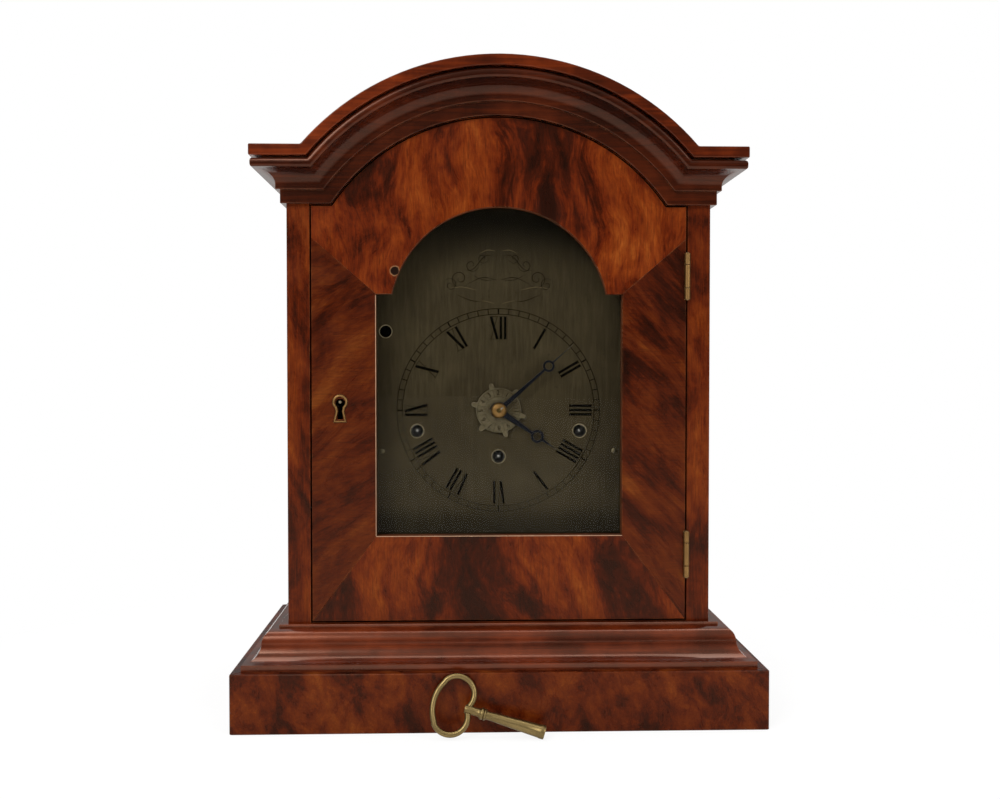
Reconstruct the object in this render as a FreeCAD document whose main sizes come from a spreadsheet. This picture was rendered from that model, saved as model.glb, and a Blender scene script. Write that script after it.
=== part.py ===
"""Bracket clock: an arched mahogany case with a glazed door front and back, a silvered
dial, a spring-driven movement with striking and alarm barrels, and its winding key.

Millimetres and degrees. The origin is at the centre of the plinth's underside, Z is up,
the dial faces -Y and +X is on the viewer's right.
"""
import FreeCAD, Part
import math
import os
import re
import Sketcher
from FreeCAD import Placement, Rotation, Vector

os.makedirs("parts", exist_ok=True)
doc = FreeCAD.newDocument("BracketClock")
sheet = doc.addObject("Spreadsheet::Sheet", "Sizes")

# ------------------------------------------------------------------ driving dimensions
SIZES = {
    # how many flats stand for a circle on small, middling and large turned pieces
    "small_sides": 12, "middle_sides": 24, "large_sides": 36,
    # plinth, base and sides of the case
    "plinth_width": 322, "plinth_depth": 208, "plinth_height": 36, "plinth_step": 30.5,
    "plinth_rail": 18, "base_board_thickness": 12, "side_thickness": 14,
    # base moulding: a fillet, a cove, an ovolo and a top fillet, from the bottom up
    "base_reach": 24.7, "base_fillet": 3.9, "base_cove": 10.6, "base_ovolo": 7.7,
    "base_top_reach": 4.8, "base_top_fillet": 1.8,
    # arched cap and the cornice moulding under it
    "arch_centre": 246.8, "arch_overhang": 27.7, "cap_ear_height": 350.7,
    "cap_thickness": 6.7, "cap_reach": 19.7, "quirk_height": 1.4, "quirk_reach": 16.9,
    "fascia_reach": 3.3, "fascia_height": 8.2, "band_reach": 5.8, "band_height": 3.2,
    "cove_reach": 10.8, "cove_height": 8.2, "cove_break": 3.4,
    "lip_step": 0.8, "lip_round": 1.5, "lip_height": 5.4,
    # stops that the doors shut against, and the depth of the arched rails
    "stop_width": 6, "stop_depth": 8, "fit_gap": 0.3, "arch_rail_depth": 24,
    # front door
    "door_gap": 1, "door_thickness": 18, "stile_width": 39.4, "window_foot": 113.5,
    "window_shoulder": 262.9, "window_apex": 316.6, "window_ledge": 8.2,
    "mitre_rise": 34, "glass_rebate": 5, "glass_setback": 7, "glass_thickness": 2,
    "bead_width": 4.5, "bead_depth": 5,
    # lock and escutcheon
    "lock_from_edge": 17.3, "lock_height": 192, "lock_width": 30, "lock_length": 36,
    "lock_depth": 8, "bolt_width": 12, "bolt_thickness": 4, "bolt_length": 19,
    "bolt_travel": 6, "bolt_channel": 21, "keeper_play": 1, "escutcheon_head": 5.25,
    "escutcheon_foot": 4.3, "escutcheon_height": 17.5, "escutcheon_waist": 3.2,
    "escutcheon_thickness": 1.6, "keyhole_head": 2.9, "keyhole_foot": 1.9,
    "keyhole_waist": 1.3, "keyhole_height": 12.6,
    # butt hinges
    "hinge_length": 28.8, "hinge_low": 101.6, "hinge_high": 273.9, "knuckle_radius": 1.8,
    "knuckle_play": 0.1,
    "leaf_thickness": 1, "leaf_width": 12, "hinge_stand_off": 1.9,
    # rear door
    "rear_thickness": 14, "rear_frame_width": 25, "rear_glass_setback": 8,
    "knob_height": 200, "knob_radius": 6, "knob_neck": 3, "knob_rose": 6.5,
    "knob_length": 16, "rose_thickness": 1.6,
    # dial
    "dial_setback": 22, "dial_thickness": 1.6, "dial_margin": 3.5, "dial_height": 190.5,
    "centre_hole": 4.6, "winding_hole": 4.2, "side_hole_drop": 13.2, "side_hole_span": 51.7,
    "low_hole_drop": 29.5, "plain_hole": 3.9, "plain_hole_inset": 4.6,
    "plain_hole_rise": 50, "dial_foot_radius": 2, "dial_foot_span": 60,
    "dial_foot_low": 63.5, "dial_foot_rise": 50,
    # hands, collet and alarm disc
    "hand_thickness": 0.9, "shown_minutes": 8.07, "shown_hours": 4,
    "minute_setback": 15.2, "minute_clearance": 12.9, "minute_ring_at": 42.2,
    "minute_ring": 3.7, "minute_ring_hole": 2.3, "minute_boss": 3.8, "minute_tail": 1.5,
    "minute_tip": 0.5,
    "hour_setback": 18, "hour_length": 45.4, "hour_ring_at": 29.6, "hour_ring": 4.2,
    "hour_ring_hole": 2.6, "hour_boss": 5.2, "hour_tail": 1.9, "hour_tip": 0.8,
    "collet_radius": 5, "collet_brow": 3.8, "collet_crown": 2.4, "collet_height": 2.6, "collet_edge": 0.8,
    "alarm_setback": 19.5, "alarm_thickness": 1, "alarm_radius": 14.3,
    "alarm_tab_reach": 17.8, "alarm_tab_width": 3,
    "alarm_tabs": 6, "alarm_turn": 43.4, "alarm_bore": 3.25,
    # movement plates, pillars and seat board
    "plate_setback": 38, "plate_thickness": 2.5, "plate_space": 52, "plate_half_width": 74,
    "plate_height": 142, "pillar_inset": 8, "pillar_radius": 4.5, "seat_top": 108,
    "seat_thickness": 12, "seat_setback": 30, "seat_depth": 70, "cleat_size": 12,
    "seat_bolt_radius": 2, "seat_bolt_head": 11, "seat_bolt_head_height": 5,
    "seat_bolt_bite": 4,
    # going train: tooth counts, modules and the levels of its wheels behind the door
    "great_teeth": 60, "centre_leaves": 6, "centre_teeth": 60, "third_leaves": 6,
    "centre_module": 0.69, "third_teeth": 60, "escape_leaves": 6, "third_module": 0.58,
    "escape_teeth": 30, "escape_radius": 12, "escape_tooth": 2, "escape_rise": 32,
    "pallet_rise": 49, "wheel_thickness": 1.6, "great_thickness": 2, "pinion_length": 5,
    "great_level": 54, "centre_wheel_level": 80, "third_wheel_level": 46,
    "escape_level": 86, "arbor_radius": 1.4, "train_arbor": 1, "arbor_play": 0.05,
    "arbor_end_shake": 0.15, "crossing_hub": 4.5, "crossing_rim": 3,
    "crossing_arm": 2.2, "crossings": 4,
    # motion work behind the dial
    "cannon_leaves": 12, "minute_wheel_teeth": 36, "minute_wheel_leaves": 10,
    "hour_wheel_teeth": 40, "motion_distance": 17.5, "motion_direction": 150,
    "cannon_level": 34, "cannon_length": 3.2, "minute_wheel_level": 35,
    "minute_pinion_level": 30.5, "minute_pinion_length": 4, "hour_wheel_level": 31.7,
    "motion_thickness": 1.2, "cannon_pipe": 2.1, "cannon_bore": 1.45, "hour_pipe": 3.2,
    "hour_bore": 2.15, "stud_radius": 1.5, "stud_play": 0.05,
    # barrels and winding arbors
    "drum_radius": 23, "drum_length": 21, "winding_arbor": 3.2, "winding_play": 0.06,
    "square_size": 4.4, "square_setback": 24.6, "square_end": 33.4, "ratchet_level": 34.6,
    "ratchet_radius": 9, "ratchet_tooth": 1.4, "ratchet_teeth": 12,
    "ratchet_thickness": 2, "strike_teeth": 48, "strike_module": 1.06,
    "strike_great_level": 74, "alarm_drum_radius": 17,
    # tooth proportions in modules, and the lean of saw teeth as a share of the pitch
    "wheel_addendum": 0.75, "wheel_dedendum": 1.5, "pinion_addendum": 0.5,
    "pinion_dedendum": 1.25, "saw_lean": 0.35,
    # pallets, crutch, cock and pendulum
    "pallet_thickness": 2.6, "pallet_angle": 45, "pallet_clearance": 0.75,
    "nib_length": 3, "nib_width": 1.6, "pallet_hub": 3.4,
    "crutch_gap": 2, "crutch_thickness": 1.4, "crutch_drop": 32, "crutch_width": 3,
    "fork_prong": 1.6, "cock_leg": 6.5, "cock_thickness": 2.5,
    "cock_half_width": 18, "cock_foot": 6, "cock_height": 14, "cock_arm": 8,
    "cock_arm_width": 9, "cock_arm_height": 7, "cock_slot": 1.8,
    "pendulum_setback": 106.5, "pendulum_length": 150, "rod_radius": 1.2,
    "spring_thickness": 0.4, "spring_width": 4, "spring_top": 8, "spring_drop": 7,
    "chop_size": 1.8, "chop_length": 5, "bob_radius": 15, "bob_thickness": 7,
    "bob_edge": 1.6, "nut_radius": 3.6, "nut_height": 3.4, "rod_end": 5,
    # bell, its stand and the hammer
    "bell_span": 30, "bell_setback": 66, "bell_rim": 258, "bell_radius": 38,
    "bell_height": 24, "bell_wall": 2, "bell_bands": 4, "bell_crown": 8, "bell_hole": 2.6,
    "stand_width": 8,
    "stand_foot_width": 12, "stand_foot_drop": 24, "stand_thickness": 3, "stand_gap": 1,
    "post_radius": 4, "post_screw": 2.5, "bell_nut_radius": 4.5, "bell_nut_height": 3,
    "hammer_span": 16, "hammer_rise": 47.5, "hammer_head": 4,
    "hammer_head_length": 11, "hammer_height": 262, "hammer_gap": 1.2,
    "hammer_arm": 1.6,
    # winding key
    "key_lobe": 10.3, "key_lobe_back": 9.8, "key_lobe_rise": 6.8, "key_bow_half_width": 21.8,
    "key_dent": 1.4, "key_wire_width": 3.4, "key_wire_thickness": 3, "key_length": 46,
    "key_neck": 2.7, "key_tip_radius": 4.1, "key_ring_radius": 3.6, "key_ring_width": 3,
    "key_ring_start": 7, "key_swell_start": 14, "key_socket_depth": 18,
    "key_socket_play": 0.2, "key_turn": 16.8, "key_lean": 20, "key_place": -19,
}

# Places worked out from the driving dimensions; each may use the ones above it.
PLACES = {
    "face": "plinth_step-plinth_depth/2",
    "back": "plinth_depth/2",
    "half_case": "plinth_width/2-plinth_step",
    "inner": "half_case-side_thickness",
    "cap_radius": "half_case+arch_overhang",
    "base_height": "base_fillet+base_cove+base_ovolo+base_top_fillet",
    "sill_top": "plinth_height+base_height",
    "cap_under": "cap_ear_height-cap_thickness",
    "cap_inner": "cap_radius-cap_thickness",
    "moulding_height": "fascia_height+band_height+cove_height+lip_height",
    "lip_top": "cap_under-quirk_height",
    "lip_radius": "cap_inner-quirk_height",
    "cornice_foot": "lip_top-moulding_height",
    "cornice_radius": "lip_radius-moulding_height",
    "lip_reach": "band_reach+cove_reach+lip_step+lip_round",
    "half_door": "inner-door_gap",
    "door_foot": "sill_top+door_gap",
    "door_shoulder": "cornice_foot-door_gap",
    "door_radius": "cornice_radius-door_gap",
    "window_half_width": "half_door-stile_width",
    "window_radius": "window_half_width-window_ledge",
    "window_centre": "window_apex-window_radius",
    "door_back": "face+door_thickness",
    "lock_place": "lock_from_edge-half_door",
    "keeper_depth": "bolt_travel+keeper_play",
    "hinge_line": "inner-door_gap/2",
    "rear_half": "half_door-rear_frame_width",
    "rear_foot": "door_foot+rear_frame_width",
    "rear_shoulder": "door_shoulder-rear_frame_width",
    "rear_radius": "door_radius-rear_frame_width",
    "rear_inside": "back-rear_thickness",
    "dial_front": "face+dial_setback",
    "dial_back": "dial_front+dial_thickness",
    "plain_hole_span": "window_half_width-plain_hole_inset",
    "minute_length": "window_half_width-minute_clearance",
    "front_plate_front": "face+plate_setback",
    "front_plate_back": "front_plate_front+plate_thickness",
    "back_plate_front": "front_plate_back+plate_space",
    "back_plate_back": "back_plate_front+plate_thickness",
    "plate_top": "seat_top+plate_height",
    "pillar_span": "plate_half_width-pillar_inset",
    "pillar_low": "seat_top+pillar_inset",
    "pillar_high": "plate_top-pillar_inset",
    "plate_middle": "front_plate_back+plate_space/2",
    "pallet_height": "dial_height+pallet_rise",
    "great_module": "2*low_hole_drop/(great_teeth+centre_leaves)",
    "centre_third": "centre_module*(centre_teeth+third_leaves)/2",
    "third_escape": "third_module*(third_teeth+escape_leaves)/2",
    "third_up": "(centre_third^2-third_escape^2+escape_rise^2)/(2*escape_rise)",
    "third_across": "sqrt(centre_third^2-third_up^2)",
    "stud_across": "motion_distance*cos(motion_direction)",
    "stud_up": "motion_distance*sin(motion_direction)",
    "cannon_module": "2*motion_distance/(cannon_leaves+minute_wheel_teeth)",
    "hour_module": "2*motion_distance/(minute_wheel_leaves+hour_wheel_teeth)",
    "cock_front": "back_plate_back+cock_leg",
    "cock_back": "cock_front+cock_thickness",
    "pendulum_line": "face+pendulum_setback",
    "bob_height": "pallet_height-pendulum_length",
    "bell_top": "bell_rim+bell_height",
    "bell_under": "bell_top-bell_wall",
    "stand_low": "plate_top+stand_gap",
    "stand_high": "stand_low+stand_thickness",
}

for row, (alias, number) in enumerate(SIZES.items(), start=1):
    sheet.set("A%d" % row, alias.replace("_", " "))
    sheet.set("B%d" % row, str(number))
    sheet.setAlias("B%d" % row, alias)
doc.recompute()


def formula(text):
    """An expression on the sheet's cells, from one that uses size and place names."""
    def swap(match):
        word = match.group(0)
        if word in PLACES:
            return "(" + formula(PLACES[word]) + ")"
        return "Sizes." + word if word in SIZES else word
    return re.sub(r"[a-z][a-z_]*", swap, text)


def value(text):
    """The number that an expression has with the sizes as they are."""
    return float(sheet.evalExpression(formula(text)))


# ------------------------------------------------------------------ drawing helpers
SUBPARTS = {}
ROLES = {"XZ": "XZ_Plane", "XY": "XY_Plane", "YZ": "YZ_Plane"}
SKETCH_SIGN = {"XZ": "-", "XY": "", "YZ": ""}
UP = Vector(0, 0, 1)
ALONG_Y = Vector(0, 1, 0)


def keep(node, thing):
    """Names a finished sub-part and puts it on the list that is written out."""
    thing.Label = node
    SUBPARTS[node] = thing
    return thing


def place(thing, x="0", y="0", z="0", rotation=None):
    """Sets a thing's placement, its position bound to the sizes."""
    if rotation is not None:
        thing.Placement = Placement(Vector(), rotation)
    for axis, text in (("x", x), ("y", y), ("z", z)):
        thing.setExpression("Placement.Base." + axis, formula(text))
    return thing


def arc(start, end, turn, radius):
    """The arc under half a circle from start to end that turns left or right."""
    chord = end - start
    side = 1 if turn == "left" else -1
    height = math.sqrt(radius ** 2 - (chord.Length / 2) ** 2)
    normal = Vector(-chord.y, chord.x, 0).normalize()
    centre = start + chord / 2 + normal * height * side
    first, last = (start, end) if turn == "left" else (end, start)
    begin = math.atan2(first.y - centre.y, first.x - centre.x)
    finish = math.atan2(last.y - centre.y, last.x - centre.x)
    if finish < begin:
        finish += 2 * math.pi
    return Part.ArcOfCircle(Part.Circle(centre, UP, radius), begin, finish)


def constrain(drawing, kind, *rest, text=None):
    """Adds one constraint and binds it to the sizes."""
    index = drawing.addConstraint(Sketcher.Constraint(kind, *rest))
    if text is not None:
        drawing.setExpression("Constraints[%d]" % index, formula(text))


def fix_point(drawing, geometry, position, x, y):
    """Holds a point of a sketch at two distances from the sketch's origin."""
    constrain(drawing, "DistanceX", -1, 1, geometry, position, value(x), text=x)
    constrain(drawing, "DistanceY", -1, 1, geometry, position, value(y), text=y)


def draw_circle(drawing, x, y, radius):
    centre = Vector(value(x), value(y), 0)
    geometry = drawing.addGeometry(Part.Circle(centre, UP, value(radius)), False)
    fix_point(drawing, geometry, 3, x, y)
    constrain(drawing, "Radius", geometry, value(radius), text=radius)


def draw_loop(drawing, loop):
    """Draws a closed outline. A corner is (x, y), or (x, y, turn, radius) before an arc."""
    corners = [Vector(value(corner[0]), value(corner[1]), 0) for corner in loop]
    starts = []
    ends = []
    for index, corner in enumerate(loop):
        start = corners[index]
        end = corners[(index + 1) % len(loop)]
        if len(corner) == 2:
            geometry = drawing.addGeometry(Part.LineSegment(start, end), False)
        else:
            curve = arc(start, end, corner[2], value(corner[3]))
            geometry = drawing.addGeometry(curve, False)
        reversed_arc = len(corner) > 2 and corner[2] == "right"
        starts.append((geometry, 2 if reversed_arc else 1))
        ends.append((geometry, 1 if reversed_arc else 2))
    for index, corner in enumerate(loop):
        fix_point(drawing, *starts[index], corner[0], corner[1])
        following = starts[(index + 1) % len(loop)]
        constrain(drawing, "Coincident", *ends[index], *following)
        if len(corner) > 2:
            constrain(drawing, "Radius", starts[index][0], value(corner[3]), text=corner[3])


class Piece:
    """A solid body drawn feature by feature; every feature runs the axis's positive way."""

    def __init__(self, name):
        self.body = doc.addObject("PartDesign::Body", name)

    def sketch(self, plane, start, loops):
        drawing = self.body.newObject("Sketcher::SketchObject", self.body.Name + "_sketch")
        features = self.body.Origin.OriginFeatures
        role = ROLES[plane]
        drawing.AttachmentSupport = [(next(f for f in features if f.Role == role), "")]
        drawing.MapMode = "FlatFace"
        offset = SKETCH_SIGN[plane] + "(" + start + ")"
        drawing.setExpression("AttachmentOffset.Base.z", formula(offset))
        for loop in loops:
            if loop[0] == "circle":
                draw_circle(drawing, *loop[1:])
            else:
                draw_loop(drawing, loop)
        return drawing

    def pad(self, plane, start, length, *loops):
        drawing = self.sketch(plane, start, loops)
        feature = self.body.newObject("PartDesign::Pad", self.body.Name + "_pad")
        feature.Profile = drawing
        feature.setExpression("Length", formula(length))
        feature.Reversed = plane == "XZ"
        return self

    def pocket(self, plane, start, length, *loops):
        drawing = self.sketch(plane, start, loops)
        feature = self.body.newObject("PartDesign::Pocket", self.body.Name + "_pocket")
        feature.Profile = drawing
        feature.setExpression("Length", formula(length))
        feature.Reversed = plane != "XZ"
        return self

    def revolve(self, loop):
        """Turns an outline of (radius, height) corners about the body's own Z axis."""
        drawing = self.sketch("XZ", "0", [loop])
        feature = self.body.newObject("PartDesign::Revolution", self.body.Name + "_turn")
        feature.Profile = drawing
        feature.ReferenceAxis = (drawing, ["V_Axis"])
        feature.Angle = 360
        return self


def prism(name, plane, start, length, *loops):
    return Piece(name).pad(plane, start, length, *loops).body


def turned(name, axis, x, y, z, loop):
    """A turned piece; its corners are (radius, place along the axis)."""
    body = Piece(name).revolve(loop).body
    rotation = Rotation(Vector(1, 0, 0), -90) if axis == "Y" else Rotation()
    return place(body, x, y, z, rotation)


def board(name, x, y, z, length, width, height):
    box = doc.addObject("Part::Box", name)
    for side, text in (("Length", length), ("Width", width), ("Height", height)):
        box.setExpression(side, formula(text))
    return place(box, x, y, z)


def rod(name, axis, x, y, z, radius, length):
    """A small round bar, with flats for its circle."""
    prism = doc.addObject("Part::Prism", name)
    prism.setExpression("Polygon", formula("small_sides"))
    prism.setExpression("Circumradius", formula(radius))
    prism.setExpression("Height", formula(length))
    rotations = {"X": Rotation(ALONG_Y, 90), "Y": Rotation(Vector(1, 0, 0), -90)}
    return place(prism, x, y, z, rotations.get(axis, Rotation()))


def facet_solid(sides, corners):
    """A solid turned about Z, with flats for its circles. Its section's corners are
    (radius, level); the section is closed, or starts and ends on the axis."""
    count = round(value(sides))
    rings = [[Vector(radius * math.cos(2 * math.pi * step / count),
                     radius * math.sin(2 * math.pi * step / count), level)
              for step in range(count)] for radius, level in corners]
    faces = []
    for index, ring in enumerate(rings):
        following = rings[(index + 1) % len(rings)]
        on_axis = corners[index][0] == 0, corners[(index + 1) % len(rings)][0] == 0
        if all(on_axis):
            continue
        if any(on_axis):
            cap = following if on_axis[0] else ring
            faces.append(Part.Face(Part.makePolygon(cap + cap[:1])))
            continue
        for step in range(count):
            after = (step + 1) % count
            quad = [ring[step], ring[after], following[after], following[step], ring[step]]
            faces.append(Part.Face(Part.makePolygon(quad)))
    shell = Part.Shell(faces)
    shell.sewShape()
    solid = Part.Solid(shell)
    return solid if solid.Volume > 0 else solid.reversed()


def faceted(name, axis, x, y, z, sides, profile):
    """A faceted turned piece; its corners are (radius, place along the axis)."""
    thing = doc.addObject("Part::Feature", name)
    thing.Shape = facet_solid(
        sides, [(value(radius), value(level)) for radius, level in profile])
    rotation = Rotation(Vector(1, 0, 0), -90) if axis == "Y" else Rotation()
    return place(thing, x, y, z, rotation)


def fused(name, *things):
    union = doc.addObject("Part::MultiFuse", name)
    union.Shapes = list(things)
    union.Refine = True
    return union


def cut(name, base, *tools):
    difference = doc.addObject("Part::Cut", name)
    difference.Base = base
    difference.Tool = tools[0] if len(tools) == 1 else fused(name + "_tools", *tools)
    difference.Refine = True
    return difference


def group(name, *things):
    compound = doc.addObject("Part::Compound", name)
    compound.Links = list(things)
    return compound


def flats(across, up, radius, sides="small_sides"):
    """A small round hole's outline, as flats outside the circle."""
    count = round(value(sides))
    reach = "(%s)/cos(180/%s)" % (radius, sides)
    corners = []
    for step in range(count):
        angle = "%d*360/%s" % (step, sides)
        corners.append(("%s+%s*cos(%s)" % (across, reach, angle),
                        "%s+%s*sin(%s)" % (up, reach, angle)))
    return corners


def mirrored(sign, text):
    return "-(%s)" % text if sign < 0 else text


def rectangle(left, low, right, high):
    return [(left, low), (right, low), (right, high), (left, high)]


# ------------------------------------------------------------------ case outlines
def spring(height, radius):
    """How far from the centre line an arch of the case crosses a height."""
    return "sqrt((%s)^2-((%s)-arch_centre)^2)" % (radius, height)


def arched_band(low, low_radius, high, high_radius, half_width):
    """The band between two arched lines, each a level with an arch rising from it."""
    low_spring = spring(low, low_radius)
    high_spring = spring(high, high_radius)
    return [
        (mirrored(-1, half_width), low),
        (mirrored(-1, low_spring), low, "right", low_radius),
        (low_spring, low),
        (half_width, low),
        (half_width, high),
        (high_spring, high, "left", high_radius),
        (mirrored(-1, high_spring), high),
        (mirrored(-1, half_width), high),
    ]


def door_outline():
    crossing = spring("door_shoulder", "door_radius")
    return [
        ("-(half_door)", "door_foot"),
        ("half_door", "door_foot"),
        ("half_door", "door_shoulder"),
        (crossing, "door_shoulder", "left", "door_radius"),
        (mirrored(-1, crossing), "door_shoulder"),
        ("-(half_door)", "door_shoulder"),
    ]


def window_outline(grow="0"):
    """The arched, shouldered window of the front door, grown by a margin."""
    half = "window_half_width+" + grow
    low = "window_foot-(%s)" % grow
    shoulder = "window_shoulder+" + grow
    radius = "window_radius+" + grow
    crossing = "sqrt((%s)^2-(%s-window_centre)^2)" % (radius, shoulder)
    return [
        (mirrored(-1, half), low),
        (half, low),
        (half, shoulder),
        (crossing, shoulder, "left", radius),
        (mirrored(-1, crossing), shoulder),
        (mirrored(-1, half), shoulder),
    ]


def rear_window_outline(grow="0"):
    """The window of the rear door, whose frame is as wide all round."""
    half = "rear_half+" + grow
    low = "rear_foot-(%s)" % grow
    shoulder = "rear_shoulder+" + grow
    crossing = spring(shoulder, "rear_radius+" + grow)
    return [
        (mirrored(-1, half), low),
        (half, low),
        (half, shoulder),
        (crossing, shoulder, "left", "rear_radius+" + grow),
        (mirrored(-1, crossing), shoulder),
        (mirrored(-1, half), shoulder),
    ]


# ------------------------------------------------------------------ plinth and base
def build_plinth():
    """Four rails mitred at the corners, with the base board let in flush with their top."""
    inner_x = "plinth_width/2-plinth_rail"
    inner_y = "plinth_depth/2-plinth_rail"
    rails = []
    for sign, name in ((-1, "plinth_front"), (1, "plinth_rear")):
        outer_line = mirrored(sign, "plinth_depth/2")
        inner_line = mirrored(sign, inner_y)
        loop = [
            ("-plinth_width/2", outer_line), ("plinth_width/2", outer_line),
            (inner_x, inner_line), (mirrored(-1, inner_x), inner_line),
        ]
        rails.append(prism(name, "XY", "0", "plinth_height", loop))
    for sign, name in ((-1, "plinth_left"), (1, "plinth_right")):
        outer_line = mirrored(sign, "plinth_width/2")
        inner_line = mirrored(sign, inner_x)
        loop = [
            (outer_line, "-plinth_depth/2"), (outer_line, "plinth_depth/2"),
            (inner_line, inner_y), (inner_line, mirrored(-1, inner_y)),
        ]
        rails.append(prism(name, "XY", "0", "plinth_height", loop))
    keep("plinth", group("plinth_rails", *rails))
    keep("base_board", board(
        "base_board", mirrored(-1, inner_x), mirrored(-1, inner_y),
        "plinth_height-base_board_thickness", "2*(%s)" % inner_x, "2*(%s)" % inner_y,
        "base_board_thickness"))


def base_profile(across, side=1):
    """The base moulding's section; across gives the place of a reach from the case."""
    cove_top = "plinth_height+base_fillet+base_cove"
    ovolo_top = "plinth_height+base_fillet+base_cove+base_ovolo"
    turns = ("right", "left") if side > 0 else ("left", "right")
    return [
        (across("0"), "plinth_height"),
        (across("base_reach"), "plinth_height"),
        (across("base_reach"), "plinth_height+base_fillet", turns[0], "base_cove"),
        (across("base_reach-base_cove"), cove_top, turns[1], "base_ovolo"),
        (across("base_reach-base_cove-base_ovolo"), ovolo_top),
        (across("base_top_reach"), ovolo_top),
        (across("base_top_reach"), "sill_top"),
        (across("0"), "sill_top"),
    ]


def cornice_profile(across, foot, top):
    """The cornice moulding's section up to a given top. The cove has two flat facets."""
    fascia_top = foot + "+fascia_height"
    band_top = fascia_top + "+band_height"
    cove_top = band_top + "+cove_height"
    return [
        (across("0"), foot),
        (across("fascia_reach"), foot),
        (across("fascia_reach"), fascia_top),
        (across("band_reach"), fascia_top),
        (across("band_reach"), band_top),
        (across("band_reach+cove_break"), band_top + "+cove_height-cove_break"),
        (across("band_reach+cove_reach"), cove_top),
        (across("band_reach+cove_reach+lip_step"), cove_top),
        (across("lip_reach"), cove_top + "+lip_round"),
        (across("lip_reach"), top),
        (across("0"), top),
    ]


def ahead(reach):
    return "face-(%s)" % reach


def sideways(sign):
    """Reaches from one side of the case, as places across it."""
    return lambda reach: mirrored(sign, "half_case+(%s)" % reach)


def mitre_ends(piece, reach, low, height):
    """Cuts both ends of a front moulding to 45 degrees in plan."""
    for sign in (-1, 1):
        corner = mirrored(sign, "half_case")
        tip = mirrored(sign, "half_case+2*(%s)" % reach)
        piece.pocket("XY", low, height, [
            (corner, "face"), (tip, "face-2*(%s)" % reach), (tip, "face")])
    return piece


def side_moulding(name, sign, loop, reach, low, height):
    """A moulding along one side, mitred at the front and flush with the back."""
    piece = Piece(name).pad("XZ", "face-(%s)" % reach, "back-face+(%s)" % reach, loop)
    corner = mirrored(sign, "half_case")
    tip = mirrored(sign, "half_case+2*(%s)" % reach)
    inner_side = mirrored(sign, "half_case-(%s)" % reach)
    front = "face-2*(%s)" % reach
    piece.pocket("XY", low, height, [
        (corner, "face"), (tip, front), (inner_side, front), (inner_side, "face")])
    return piece.body


def build_base_moulding():
    span = "half_case+base_reach"
    front = Piece("base_moulding_front")
    front.pad("YZ", mirrored(-1, span), "2*(%s)" % span, base_profile(ahead, -1))
    mitre_ends(front, "base_reach", "plinth_height", "base_height")
    keep("base_moulding_front", front.body)
    sides = [
        side_moulding("base_side_" + name, sign, base_profile(sideways(sign), sign),
                      "base_reach", "plinth_height", "base_height")
        for sign, name in ((-1, "left"), (1, "right"))]
    keep("base_moulding_sides", group("base_sides", *sides))


# ------------------------------------------------------------------ sides and rails
def build_sides():
    """Side boards; the right one is let in for hinge leaves, the left one for the bolt."""
    height = "cap_under-plinth_height"
    left = board("side_left_board", "-(half_case)", "face", "plinth_height",
                 "side_thickness", "back-face", height)
    keeper = board("keeper_hole", "-(inner)-keeper_depth",
                   "face+door_thickness-lock_depth/2-bolt_thickness/2-fit_gap",
                   "lock_height-bolt_width/2-fit_gap", "keeper_depth",
                   "bolt_thickness+2*fit_gap", "bolt_width+2*fit_gap")
    keep("side_left", cut("side_left", left, keeper))
    right = board("side_right_board", "inner", "face", "plinth_height",
                  "side_thickness", "back-face", height)
    recesses = []
    for level in ("low", "high"):
        low = "hinge_%s-hinge_length/2" % level
        for corner, start in (("front", "face"), ("rear", "back-leaf_width")):
            recesses.append(board("recess_%s_%s" % (corner, level), "inner", start, low,
                                  "leaf_thickness", "leaf_width", "hinge_length"))
    keep("side_right", cut("side_right", right, *recesses))


def trim_sides(piece, start, length, low):
    """Takes off what stands past the inner faces of the side boards."""
    top = "arch_centre+2*cap_radius"
    for sign in (-1, 1):
        near = mirrored(sign, "inner")
        far = mirrored(sign, "2*half_case")
        piece.pocket("XZ", start, length, [(near, low), (far, low), (far, top), (near, top)])
    return piece


def arch_rail(node, start):
    """The rail over a door: an arched board between the sides, under the cap."""
    piece = Piece(node)
    piece.pad("XZ", start, "arch_rail_depth", arched_band(
        "cornice_foot", "cornice_radius", "cap_under", "cap_inner", "half_case"))
    trim_sides(piece, start, "arch_rail_depth", "cornice_foot-stop_width")
    keep(node, piece.body)


def build_rails():
    arch_rail("front_arch_rail", "face")
    arch_rail("rear_arch_rail", "back-arch_rail_depth")
    stop_top = "sill_top+stop_width"
    front = prism("front_sill", "YZ", "-(inner)", "2*inner", [
        ("face", "plinth_height"), ("door_back+fit_gap+stop_depth", "plinth_height"),
        ("door_back+fit_gap+stop_depth", stop_top), ("door_back+fit_gap", stop_top),
        ("door_back+fit_gap", "sill_top"), ("face", "sill_top")])
    rear = prism("rear_sill", "YZ", "-(inner)", "2*inner", [
        ("back", "plinth_height"), ("back", "sill_top"),
        ("rear_inside-fit_gap", "sill_top"), ("rear_inside-fit_gap", stop_top),
        ("rear_inside-fit_gap-stop_depth", stop_top),
        ("rear_inside-fit_gap-stop_depth", "plinth_height")])
    keep("sill_rails", group("sills", front, rear))


def build_cap():
    """The arched cap with its level ears, which is the roof of the case."""
    keep("cap", prism("cap", "XZ", "face-cap_reach", "back-face+cap_reach", arched_band(
        "cap_under", "cap_inner", "cap_ear_height", "cap_radius", "half_case+cap_reach")))


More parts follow.
